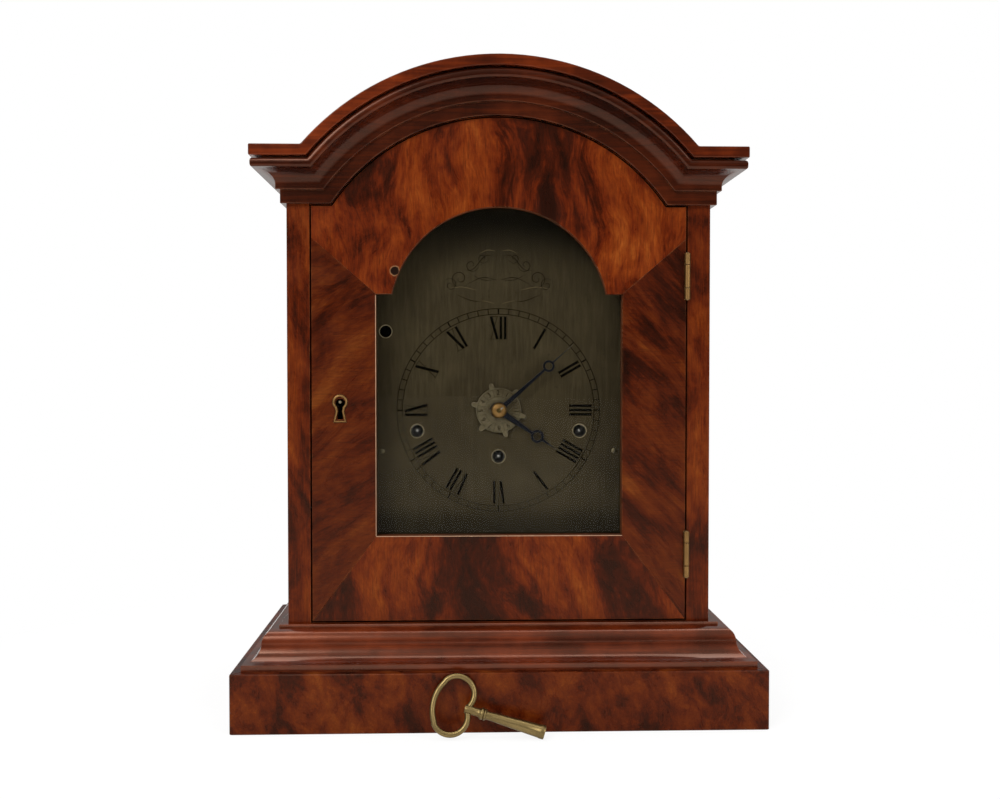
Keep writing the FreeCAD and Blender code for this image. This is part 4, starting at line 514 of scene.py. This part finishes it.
def arc(centre, radius, start, end, steps):
    """Points on an arc, angles in degrees from +X towards +Z."""
    return [(centre[0] + radius * math.cos(math.radians(start + (end - start) * i / steps)),
             centre[1] + radius * math.sin(math.radians(start + (end - start) * i / steps)))
            for i in range(steps + 1)]


def bead(path, section, front, closed):
    """A section of (outwards, forwards) points, led round a closed path of (x, z) points."""
    vertices = []
    for index, point in enumerate(path):
        run = (Vector(path[(index + 1) % len(path)]) - Vector(path[index - 1])).normalized()
        out = Vector((run.y, -run.x))
        for grow, rise in section:
            spot = Vector(point) + out * grow
            vertices.append((spot.x, front - rise, spot.y))
    return vertices, grid(len(path), len(section), True, closed)


# ------------ mouldings
def sweep(rows, name, material, body):
    """A moulding: rows are the lines that the points of its section draw along it."""
    count, length = len(rows), len(rows[0])
    faces = grid(count, length, True, False)
    for end in (0, length - 1):
        faces.append(tuple(row * length + end for row in range(count)))
    return piece(name, [point for row in rows for point in row], faces, material, body, 32)


def cornice_rows():
    """The cornice runs along the left side, the front with its arch, and the right."""
    foot, radius = 317.6, 125.1
    section = [(0, 0), (3.0, 0), (3.3, 0.3), (3.3, 8.2), (5.5, 8.2), (5.8, 8.5), (5.8, 11.0)]
    for step in range(9):
        angle = math.radians(90 * step / 8)
        section.append((5.8 + 10.8 * (1 - math.cos(angle)), 11.4 + 8.2 * math.sin(angle)))
    section += [(17.4, 19.6), (18.2, 19.75), (18.7, 20.3), (18.9, 21.2), (18.9, 23.2),
                (18.6, 24.2), (17.9, 24.85), (12.0, 25.0), (12.0, 26.4), (0, 26.4)]
    rows = []
    for reach, height in section:
        level, ring = foot + height, radius + height
        spring = math.sqrt(ring ** 2 - (level - ARCH) ** 2)
        turn = math.degrees(math.atan2(level - ARCH, spring))
        out, ahead = HALF_CASE + reach, FACE - reach
        row = [(-out, BACK, level), (-out, ahead, level)]
        row += [(x, ahead, z) for x, z in arc((0, ARCH), ring, 180 - turn, turn, 72)]
        row += [(out, ahead, level), (out, BACK, level)]
        rows.append(row)
    return rows


def base_rows():
    """The base moulding: a fillet, a hollow, a round and a top fillet, round three sides."""
    section = [(0, 0), (24.7, 0), (24.7, 3.5), (24.4, 3.9)]
    for step in range(1, 10):
        angle = math.radians(90 * step / 9)
        section.append((24.7 - 10.6 * math.sin(angle), 3.9 + 10.6 * (1 - math.cos(angle))))
    for step in range(1, 8):
        angle = math.radians(90 * step / 7)
        section.append((14.1 - 7.7 * (1 - math.cos(angle)), 14.5 + 7.7 * math.sin(angle)))
    section += [(4.8, 22.2), (4.8, 23.7), (4.5, 24.0), (0, 24.0)]
    rows = []
    for reach, height in section:
        out, ahead, level = HALF_CASE + reach, FACE - reach, PLINTH_TOP + height
        rows.append([(-out, BACK, level), (-out, ahead, level), (out, ahead, level),
                     (out, BACK, level)])
    return rows


def build_plinth():
    """Four boards, mitred at the corners, with rubbed arrises."""
    boards = []
    for way in range(4):
        half, deep = PLINTH_WIDE, PLINTH_DEEP
        if way % 2:
            half, deep = deep, half
        ring = [(-half, -deep), (half, -deep), (half - BOARD, -deep + BOARD),
                (-half + BOARD, -deep + BOARD)]
        turn = Matrix.Rotation(way * math.pi / 2, 2)
        plan = [turn @ Vector(point) for point in ring]
        boards.append(capped([(p.x, p.y, 0) for p in plan],
                             [(p.x, p.y, PLINTH_TOP) for p in plan]))
    plinth = piece("plinth_boards", *together(*boards), M["plinth"], "clock_case",
                   merge=False)
    bevel = plinth.modifiers.new("arris", "BEVEL")
    bevel.width, bevel.segments = 0.0006, 2
    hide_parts("plinth")


build_plinth()
cornice = sweep(cornice_rows(), "cornice_moulding", M["moulding"], "clock_case")
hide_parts("cornice_front", "cornice_sides")
base = sweep(base_rows(), "base_moulding", M["base"], "clock_case")
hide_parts("base_moulding_front", "base_moulding_sides")


# ------------ dial
def ribbon(points, width, taper=False):
    """A line cut in the dial, as a flat strip just proud of it."""
    vertices = []
    count = len(points)
    for index, point in enumerate(points):
        before = Vector(points[max(index - 1, 0)])
        after = Vector(points[min(index + 1, count - 1)])
        run = (after - before).normalized()
        share = math.sin(math.pi * index / (count - 1)) if taper else 1.0
        half = width / 2 * (0.25 + 0.75 * share if taper else 1.0)
        across = Vector((-run.y, run.x)) * half
        for sign in (-1, 1):
            vertices.append((point[0] + sign * across.x, DIAL_FACE - PROUD,
                             point[1] + sign * across.y))
    return vertices, grid(count, 2, False, False)


def ring_line(radius, width):
    return ribbon(arc((0, DIAL_UP), radius, 0, 360, 180), width)


def at_dial(hour_angle, across, out):
    """A point given by its place in a numeral that stands on a radius of the dial."""
    angle = math.radians(hour_angle)
    return (out * math.sin(angle) + across * math.cos(angle),
            DIAL_UP + out * math.cos(angle) - across * math.sin(angle))


GLYPHS = {"I": 2.75, "V": 5.4, "X": 5.8}


def numeral(text, hour_angle, low, high):
    """A Roman numeral with a heavy stroke, a hairline and fine serifs for each letter."""
    width = sum(GLYPHS[letter] for letter in text)
    start = -width / 2
    heavy, fine = [], []

    def stroke(store, x0, r0, x1, r1, thick):
        store.append(ribbon([at_dial(hour_angle, x0, r0), at_dial(hour_angle, x1, r1)],
                            thick))

    for letter in text:
        wide = GLYPHS[letter]
        middle = start + wide / 2
        reach = wide / 2 - 0.9
        if letter == "I":
            stroke(heavy, middle, low, middle, high, 1.6)
        elif letter == "V":
            stroke(heavy, middle - reach, high, middle, low, 1.7)
            stroke(fine, middle + reach, high, middle, low, 0.3)
        else:
            stroke(heavy, middle - reach, high, middle + reach, low, 1.7)
            stroke(fine, middle + reach, high, middle - reach, low, 0.3)
        for end in (low, high):
            if letter != "V" or end == high:
                stroke(fine, start + 0.25, end, start + wide - 0.25, end, 0.28)
        start += wide
    return heavy, fine


def build_chapters():
    heavy, fine = [], []
    names = ("XII", "I", "II", "III", "IIII", "V", "VI", "VII", "VIII", "IX", "X", "XI")
    for hour, text in enumerate(names):
        more_heavy, more_fine = numeral(text, 30 * hour, NUMERAL_FOOT, NUMERAL_HEAD)
        heavy += more_heavy
        fine += more_fine
    for radius in (TRACK_INSIDE, TRACK_OUTSIDE):
        fine.append(ring_line(radius, 0.42))
    for minute in range(60):
        wide = 0.9 if minute % 5 == 0 else 0.5
        fine.append(ribbon([at_dial(6 * minute, 0, TRACK_INSIDE),
                            at_dial(6 * minute, 0, TRACK_OUTSIDE)], wide))
    piece("dial_numerals", *together(*heavy), M["wax"], "clock_case", merge=False)
    piece("dial_minute_track", *together(*fine), M["faint"], "clock_case", merge=False)


def spiral(centre, start, turns, radius, flip):
    """A scroll that winds in: a plain flourish."""
    points = []
    for step in range(49):
        share = step / 48
        angle = math.radians(start + 360 * turns * share)
        reach = radius * (1 - share) ** 0.85 + 0.25
        points.append((centre[0] + flip * reach * math.cos(angle),
                       centre[1] + reach * math.sin(angle)))
    return points


def wave(start, end, rise, bows):
    points = []
    for step in range(41):
        share = step / 40
        lift = rise * math.sin(math.pi * bows * share) * (0.6 + 0.4 * math.sin(math.pi * share))
        points.append((start[0] + (end[0] - start[0]) * share,
                       start[1] + (end[1] - start[1]) * share + lift))
    return points


def build_flourish():
    """Plain penman's scrolls fill the arch of the dial, alike on both sides."""
    dark, bright = [], []
    for flip in (-1, 1):
        for centre, start, turns, radius in (
                ((flip * 24.5, 274.0), 200, 1.6, 6.0), ((flip * 17.0, 282.5), 150, 1.3, 4.6),
                ((flip * 30.5, 270.0), 20, 1.4, 4.2), ((flip * 10.0, 287.0), 190, 1.2, 3.4)):
            dark.append(ribbon(spiral(centre, start, turns, radius, flip), 0.42, taper=True))
        for store, (x0, z0), (x1, z1), rise, bows, width in (
                (dark, (3, 288.5), (22, 279.5), 2.6, 2, 0.4),
                (dark, (6, 259.5), (27, 264.0), -1.8, 1, 0.4),
                (bright, (14, 266.8), (33, 267.5), 1.5, 1, 0.34),
                (bright, (2, 291.5), (12, 290.0), 1.3, 1, 0.3),
                (bright, (2.5, 258.2), (14, 259.2), 1.0, 1, 0.3),
                (dark, (1.5, 273.5), (19, 271.0), 2.4, 1, 0.4),
                (dark, (1.5, 273.5), (17, 276.5), -1.9, 1, 0.34)):
            line = wave((flip * x0, z0), (flip * x1, z1), rise, bows)
            store.append(ribbon(line, width, taper=True))
    piece("dial_flourish", *together(*dark), M["faint"], "clock_case", merge=False)
    piece("dial_flourish_bright", *together(*bright), M["gilt"], "clock_case", merge=False)


def build_dial_trim():
    """Rubbed rims round the holes, two screws at the edges, and a black cup of painted shade in
    the plain hole.
    """
    rims = []
    for x, z, radius in [(x, z, 4.2) for x, z in WINDING_HOLES] + [(*PLAIN_HOLE, 3.9)]:
        rims.append(lathe([(radius - 0.12, 0.6), (radius - 0.12, -0.02), (radius + 0.1, -0.1),
                           (radius + 0.34, -0.08), (radius + 0.42, 0.02)],
                          (x, DIAL_FACE, z), (0, 1, 0), 48))
    piece("dial_hole_rims", *together(*rims), M["rim"], "clock_case")
    heads = []
    for x in (-73.9, 73.9):
        heads.append(lathe([(1.6, 0), (1.6, -0.35), (1.25, -0.6), (0.02, -0.68)],
                           (x, DIAL_FACE, 164.5), (0, 1, 0), 32))
    piece("dial_screws", *together(*heads), M["disc"], "clock_case")
    # Painted shade: a black cup behind the plain hole keeps the light that comes through the
    # case from showing there.
    shade_cup = lathe([(3.95, 1.6), (3.95, 9.0), (0.02, 9.0)],
                (PLAIN_HOLE[0], DIAL_FACE, PLAIN_HOLE[1]), (0, 1, 0), 32)
    piece("plain_hole_shade_cup", *shade_cup, M["wax"], "clock_case")


build_chapters()
build_flourish()
build_dial_trim()


# ------------ hands and alarm disc
def build_collet():
    """The domed brass collet of the minute hand, and the pin that holds it."""
    rear = FACE + 15.2
    dome = lathe([(1.42, 0), (4.6, 0), (5.0, -0.25), (5.0, -0.8), (4.75, -1.3), (4.2, -1.8),
                  (3.3, -2.25), (2.2, -2.5), (1.42, -2.56)], (0, rear, DIAL_UP), (0, 1, 0))
    collet = piece("hand_collet_dome", *dome, M["brass"], "minute_work")
    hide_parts("hand_collet")
    pin = lathe([(0.02, -3.6), (0.42, -3.5), (0.5, 3.3), (0.02, 3.4)],
                (0, rear - 1.9, DIAL_UP), (0.8, -0.12, 0.6), 16)
    tip = lathe([(1.38, -1.2), (1.38, -2.3), (1.1, -2.58), (0.02, -2.6)],
                (0, rear, DIAL_UP), (0, 1, 0), 32)
    piece("hand_pin", *together(pin, tip), M["steel"], "minute_work")


def build_alarm_disc():
    """A thin engraved disc with six little lugs to turn it by."""
    front = FACE + 19.5
    outline = []
    for step in range(360):
        angle = step % 60
        angle = min(angle, 60 - angle)
        across = DISC * math.sin(math.radians(angle))
        reach = DISC
        if across < 1.7:
            reach = DISC + 1.3 * (1 - (across / 1.7) ** 4) + 2.2 * math.sqrt(
                max(0.0, 1 - (across / 1.45) ** 2))
        outline.append((step, min(reach, 17.8)))
    rings = ((0, 0, 3.25), (0, 0, 13.9), (-0.2, 0, None), (0, 0.2, None), (0, 0.8, None),
             (-0.2, 1.0, None), (0, 1.0, 3.25), (0, 0, 3.25))
    vertices = []
    for grow, level, inner in rings:
        for step, reach in outline:
            radius = inner or reach + grow
            turn = math.radians(DISC_TURN + step)
            vertices.append((radius * math.sin(turn), front + level,
                             DIAL_UP + radius * math.cos(turn)))
    faces = grid(len(rings), len(outline))
    disc = piece("alarm_setting_disc", vertices, faces, M["disc"], "alarm_setting", 30)
    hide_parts("alarm_disc")
    marks = []
    shift = DIAL_FACE - front
    for radius in (FIGURES_OUTSIDE, FIGURES_INSIDE):
        marks.append(ring_line(radius, 0.16))
    for hour in range(12):
        text = bpy.data.curves.new("figure", "FONT")
        text.body = str(12 - hour)
        text.size = 4.3 * MM
        text.align_x = text.align_y = "CENTER"
        text.resolution_u = 2
        holder = bpy.data.objects.new("figure", text)
        bpy.context.scene.collection.objects.link(holder)
        bpy.context.view_layer.update()
        mesh = bpy.data.meshes.new_from_object(holder)
        bpy.data.objects.remove(holder)
        turn = DISC_TURN + 15 + 30 * hour
        start = [at_dial(turn, v.co.x / MM, 11.1 + v.co.y / MM) for v in mesh.vertices]
        marks.append(([(x, DIAL_FACE - PROUD, z) for x, z in start],
                      [tuple(p.vertices) for p in mesh.polygons]))
        bpy.data.meshes.remove(mesh)
        marks.append(ribbon([at_dial(turn + 15, 0, FIGURES_INSIDE),
                             at_dial(turn + 15, 0, FIGURES_OUTSIDE)], 0.16))
    vertices, faces = together(*marks)
    piece("alarm_disc_figures", [(x, y - shift, z) for x, y, z in vertices], faces,
          M["wax"], "alarm_setting", merge=False)


build_collet()
build_alarm_disc()


# ------------ door furniture
def build_escutcheon():
    """A raised brass keyhole rim with flared feet, the lock's pin, and a black sheet of painted
    shade behind it.
    """
    x, z = -98.2, 192.0
    head = z + 8.75 - 4.4
    path = arc((x, head), 3.95, -52, 232, 28)
    path += [(x - 1.9, z - 1.5), (x - 3.4, z - 7.6), (x + 3.4, z - 7.6), (x + 1.9, z - 1.5)]
    section = [(0.9 * math.cos(math.radians(a)), 1.45 * math.sin(math.radians(a)))
               for a in range(0, 181, 30)]
    vertices, faces = bead(path, section, FACE, False)
    rim = piece("escutcheon_rim", vertices, faces, M["brass"], "front_door", 60)
    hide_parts("escutcheon")
    pin = lathe([(1.05, 6.0), (1.05, 0.3), (0.8, 0.0), (0.02, -0.05)], (x, FACE + 0.6, head),
                (0, 1, 0), 24)
    piece("lock_pin", *pin, M["rim"], "front_door")
    # Painted shade: a black sheet inside the keyhole stands for the shadow in the lock's depth.
    corners = ((-2.9, head - 1.2), (-2.9, head + 1.6), (-1.4, head + 2.9), (1.4, head + 2.9),
               (2.9, head + 1.6), (2.9, head - 1.2), (1.3, head - 3.0), (1.9, z - 6.3),
               (-1.9, z - 6.3), (-1.3, head - 3.0))
    dark = capped(*([(x + px, FACE + level, pz) for px, pz in corners]
                    for level in (9.0, 9.4)))
    piece("keyhole_shade_sheet", *dark, M["wax"], "front_door")


def hinge_set(door):
    """Leaves and turned knuckles of one side of the pair of butt hinges."""
    parts = []
    axis_y = FACE - 1.9
    x0 = HINGE - 1.5 if door else HINGE + 0.5
    for level in HINGE_LEVELS:
        low = level - 14.4
        parts.append(block((x0, FACE, low), (x0 + 1, FACE + 12, low + 28.8), 0.12))
        stretches = [(low + 7.3, 14.2)] if door else [(low, 7.2), (low + 21.6, 7.2)]
        for start, length in stretches:
            parts.append(block((x0, axis_y, start), (x0 + 1, FACE, start + length)))
            parts.append(lathe([(0.02, 0), (1.5, 0), (1.8, 0.3), (1.8, length - 0.3),
                                (1.5, length), (0.02, length)],
                               (HINGE, axis_y, start), (0, 0, 1), 32))
            if not door:
                tip = start if start == low else start + length
                out = -1 if start == low else 1
                parts.append(lathe([(1.0, 0), (1.0, 0.25 * out), (0.7, 0.45 * out),
                                    (0.02, 0.5 * out)], (HINGE, axis_y, tip), (0, 0, 1), 24))
    return together(*parts)


def build_hinges():
    for node, body, door in (("front_hinge_case_leaves", "clock_case", False),
                             ("front_hinge_door_leaves", "front_door", True)):
        hinge = piece(node.replace("leaves", "brass"), *hinge_set(door), M["brass"], body)
        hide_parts(node)


def build_sight_line():
    """A pale rubbed line where the veneer ends, at the window's left and lower edges."""
    stile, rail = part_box("door_stile_lock"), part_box("door_bottom_rail")
    left, low = stile[1].x / MM, rail[1].z / MM
    shoulder = 262.0
    line = together(block((left - 0.35, FACE - PROUD, low), (left, FACE, shoulder)),
                    block((left, FACE - PROUD, low - 0.4), (-left, FACE, low)))
    piece("sight_line", *line, M["dust"], "front_door")


build_escutcheon()
build_hinges()
build_sight_line()


# ------------ winding key
def key_path():
    """The middle line of the kidney-shaped bow, in the key's own plane."""
    lobe, back, rise, half, dent = 10.3, 9.8, 6.8, 21.8, 1.4
    centre = Vector((-back, rise))
    inside = half - lobe
    back_x = (inside ** 2 - centre.x ** 2 - rise ** 2) / (2 * (centre.x - inside))
    span = -dent - centre.x
    dent_radius = (lobe ** 2 - rise ** 2 - span ** 2) / (2 * (span - lobe))
    back_centre, dent_centre = Vector((back_x, 0)), Vector((dent_radius - dent, 0))
    back_way = centre - back_centre
    dent_way = dent_centre - centre

    def angle(way):
        return math.degrees(math.atan2(way.y, way.x))

    top = arc(centre, lobe, angle(back_way), angle(dent_way), 40)
    turn = 180 - angle(back_way)
    rear = arc(back_centre, half + back_x, 180 + turn, 180 - turn, 24)
    lean = 180 - angle(-dent_way)
    front = arc(dent_centre, dent_radius, 180 - lean, 180 + lean, 16)
    low = [(x, -z) for x, z in reversed(top)]
    return rear[:-1] + top[:-1] + front[:-1] + low[:-1]


def build_key():
    """A brass key: wire bow, turned stem with rings, and a square socket in its end."""
    wire = [2 * math.pi * step / 14 for step in range(14)]
    bow = bead(key_path(), [(1.7 * math.cos(a), -1.5 * math.sin(a)) for a in wire], 0, True)
    stem = [(0.02, -3.0), (2.4, -2.8), (2.7, -1.5), (2.5, 2.0), (2.4, 5.2), (2.7, 6.2),
            (3.4, 6.9), (3.6, 7.6), (3.4, 8.3), (2.9, 8.6), (3.4, 8.9), (3.6, 9.4),
            (3.3, 10.0), (2.7, 10.4), (2.45, 12.0), (2.6, 14.5), (3.1, 24.0), (3.6, 34.0),
            (3.9, 42.5), (4.1, 43.0), (4.1, 45.6), (3.9, 46.0), (3.0, 46.0)]
    turned = lathe(stem, (0, 0, 0), (1, 0, 0), 48)
    half, mouth, depth = 2.3, 46.0, 28.0
    square = [(x, y, z) for x in (mouth, depth)
              for y, z in ((-half, -half), (half, -half), (half, half), (-half, half))]
    socket = (square, grid(2, 4) + [(4, 5, 6, 7)])
    lip = lathe([(3.9, 46.0), (3.25, 46.02), (2.35, 45.4)], (0, 0, 0), (1, 0, 0), 48)
    form = together(bow, turned, socket, lip)
    turn = (Matrix.Rotation(math.radians(-20), 3, "X")
            @ Matrix.Rotation(math.radians(16.8), 3, "Y"))
    moved = [turn @ Vector(v) for v in form[0]]
    low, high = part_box("winding_key")
    highest = max(v.y for v in moved)
    lowest = min(v.z for v in moved)
    shift = Vector((-19.0, high.y / MM - highest, low.z / MM - lowest))
    key = piece("brass_winding_key", [v + shift for v in moved], form[1], M["key_brass"],
                "key", 44)
    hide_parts("winding_key")


build_key()


# ------------ behind the dial
def build_bell():
    """A turned bell with a thickened lip."""
    outside = [(37.0, 0.0), (38.0, 0.6), (37.9, 1.8), (37.2, 3.0)]
    for step in range(1, 13):
        angle = math.radians(82 * step / 12 + 4)
        outside.append((37.6 * math.cos(angle) ** 0.9, 24 * math.sin(angle) ** 1.02))
    outside += [(4.2, 24.0), (2.62, 24.0), (2.62, 22.0)]
    inside = [(36 * math.cos(math.radians(86 - 7 * i)), 22 * math.sin(math.radians(86 - 7 * i)))
              for i in range(13)]
    bell = piece("turned_bell", *lathe(outside + inside + [(37.0, 0.0)],
                                       (30, FACE + 66, 258), (0, 0, 1), 96),
                 M["bell"], "clock_case")
    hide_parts("bell")


def build_pillars():
    """Turned brass pillars with a swelling and fillets between the plates."""
    profile = [(3.6, 0), (4.5, 0.4), (4.5, 3.0), (3.6, 3.6), (3.2, 5.5), (3.0, 16), (3.2, 21),
               (4.2, 22.3), (4.5, 24), (4.5, 28), (4.2, 29.7), (3.2, 31), (3.0, 36),
               (3.2, 46.5), (3.6, 48.4), (4.5, 49), (4.5, 51.6), (3.6, 52)]
    shapes = [lathe(profile, (x, FACE + 40.5, z), (0, 1, 0), 40) for x, z in PILLARS]
    posts = piece("turned_pillars", *together(*shapes), M["plate_brass"], "clock_case")
    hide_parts("movement_pillars")
    ends = []
    for x, z in PILLARS:
        for level, out in ((FACE + 38, -1), (FACE + 95, 1)):
            ends.append(lathe([(2.9, 0), (2.9, out * 0.5), (2.2, out * 1.0),
                               (0.02, out * 1.1)], (x, level, z), (0, 1, 0), 28))
    piece("pillar_ends", *together(*ends), M["plate_brass"], "clock_case")


def build_bob():
    """A lens-shaped brass bob with a turned rim."""
    half = [(0.3, -3.5), (4.5, -3.5), (9.0, -2.9), (12.5, -1.9), (14.2, -1.1), (14.8, -0.8),
            (15.0, -0.4)]
    profile = half + [(radius, -place) for radius, place in reversed(half)]
    bob = piece("brass_bob", *lathe(profile, (0, 33, 89.5), (0, 1, 0), 72), M["bell"],
                "pendulum")
    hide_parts("pendulum_bob")


def build_knob():
    """A turned brass knob in the middle of the frame's own."""
    low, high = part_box("rear_door_knob")
    x = (low.x + high.x) / 2 / MM
    profile = [(6.4, 0), (6.5, 0.3), (6.2, 0.9), (4.6, 1.3), (3.2, 1.9), (2.8, 3.2),
               (3.0, 4.6), (4.4, 5.8)]
    for step in range(11):
        angle = math.radians(-40 + 130 * step / 10)
        profile.append((6.0 * math.cos(angle), 10 + 6.0 * math.sin(angle)))
    profile.append((0.02, 16.0))
    knob = piece("turned_knob", *lathe(profile, (x, BACK, 200), (0, 1, 0), 48), M["brass"],
                 "rear_door")
    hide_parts("rear_door_knob")


build_bell()
build_pillars()
build_bob()
build_knob()


# ------------ setting and light
def build_floor():
    """A pale sweep that the camera sees nearly white, with the clock's soft shadow."""
    ground = Finish("pale_floor", 0.9)
    grain = ground.noise(ground.place, 40.0, 4.0)
    ground.finish(ground.ramp(grain, (0.3, (0.90, 0.90, 0.90)), (0.7, (0.93, 0.93, 0.93))))
    glow = ground.add("Emission", {"Color": (1, 1, 1, 1), "Strength": 1.0})
    away = ground.add("VectorMath", {0: ground.place}, operation="LENGTH")
    share = ground.grey(away.outputs["Value"], 0.22, 0.42, 0.86, 1.0)
    ground.end_with(ground.sums("MULTIPLY", ground.seen(), share), ground.shader, glow)
    mesh = bpy.data.meshes.new("studio_floor")
    mesh.from_pydata([(-6, -6, 0), (6, -6, 0), (6, 6, 0), (-6, 6, 0)], [], [(0, 1, 2, 3)])
    mesh.materials.append(ground.material)
    floor = bpy.data.objects.new("studio_floor", mesh)
    bpy.context.scene.collection.objects.link(floor)


def build_world():
    """White where the camera sees it. For the rest, a room that is dark at eye level."""
    world = bpy.data.worlds.new("studio")
    bpy.context.scene.world = world
    sky = Nodes(world, "OutputWorld")
    place = sky.add("TexCoord").outputs["Generated"]
    up = sky.add("SeparateXYZ", {0: place}).outputs["Z"]
    room = sky.add("Background", {"Color": (1.0, 0.98, 0.95, 1),
                                  "Strength": sky.grey(up, 0.05, 0.75, 0.14, 0.85)})
    white = sky.add("Background", {"Color": (1, 1, 1, 1), "Strength": 1.0})
    sky.end_with(sky.seen(), room, white)


def lamp(name, spot, target, size, power):
    light = bpy.data.lights.new(name, "AREA")
    light.shape = "RECTANGLE"
    light.size, light.size_y = size
    light.energy = power
    thing = bpy.data.objects.new(name, light)
    bpy.context.scene.collection.objects.link(thing)
    thing.location = spot
    thing.rotation_euler = (Vector(target) - Vector(spot)).to_track_quat("-Z", "Y").to_euler()


def build_camera():
    camera = bpy.data.cameras.new("camera")
    camera.sensor_width = 36.0
    camera.lens = 42.12
    camera.clip_start, camera.clip_end = 0.05, 50.0
    thing = bpy.data.objects.new("camera", camera)
    bpy.context.scene.collection.objects.link(thing)
    thing.location = (-0.02374, -0.7955, 0.21687)
    yaw, pitch = 0.0332, 0.0263
    forward = Vector((math.cos(pitch) * math.sin(yaw), math.cos(pitch) * math.cos(yaw),
                      -math.sin(pitch)))
    thing.rotation_euler = forward.to_track_quat("-Z", "Y").to_euler()
    bpy.context.scene.camera = thing


build_floor()
build_world()
lamp("key_light", (-0.9, -1.5, 1.25), (0, 0, 0.2), (0.9, 0.9), 24)
lamp("fill_light", (1.3, -1.2, 0.8), (0, 0, 0.2), (0.9, 1.2), 12)
lamp("top_light", (0, 0.1, 1.5), (0, 0, 0.2), (1.2, 0.9), 12)
build_camera()
bpy.context.scene.view_settings.view_transform = "Standard"
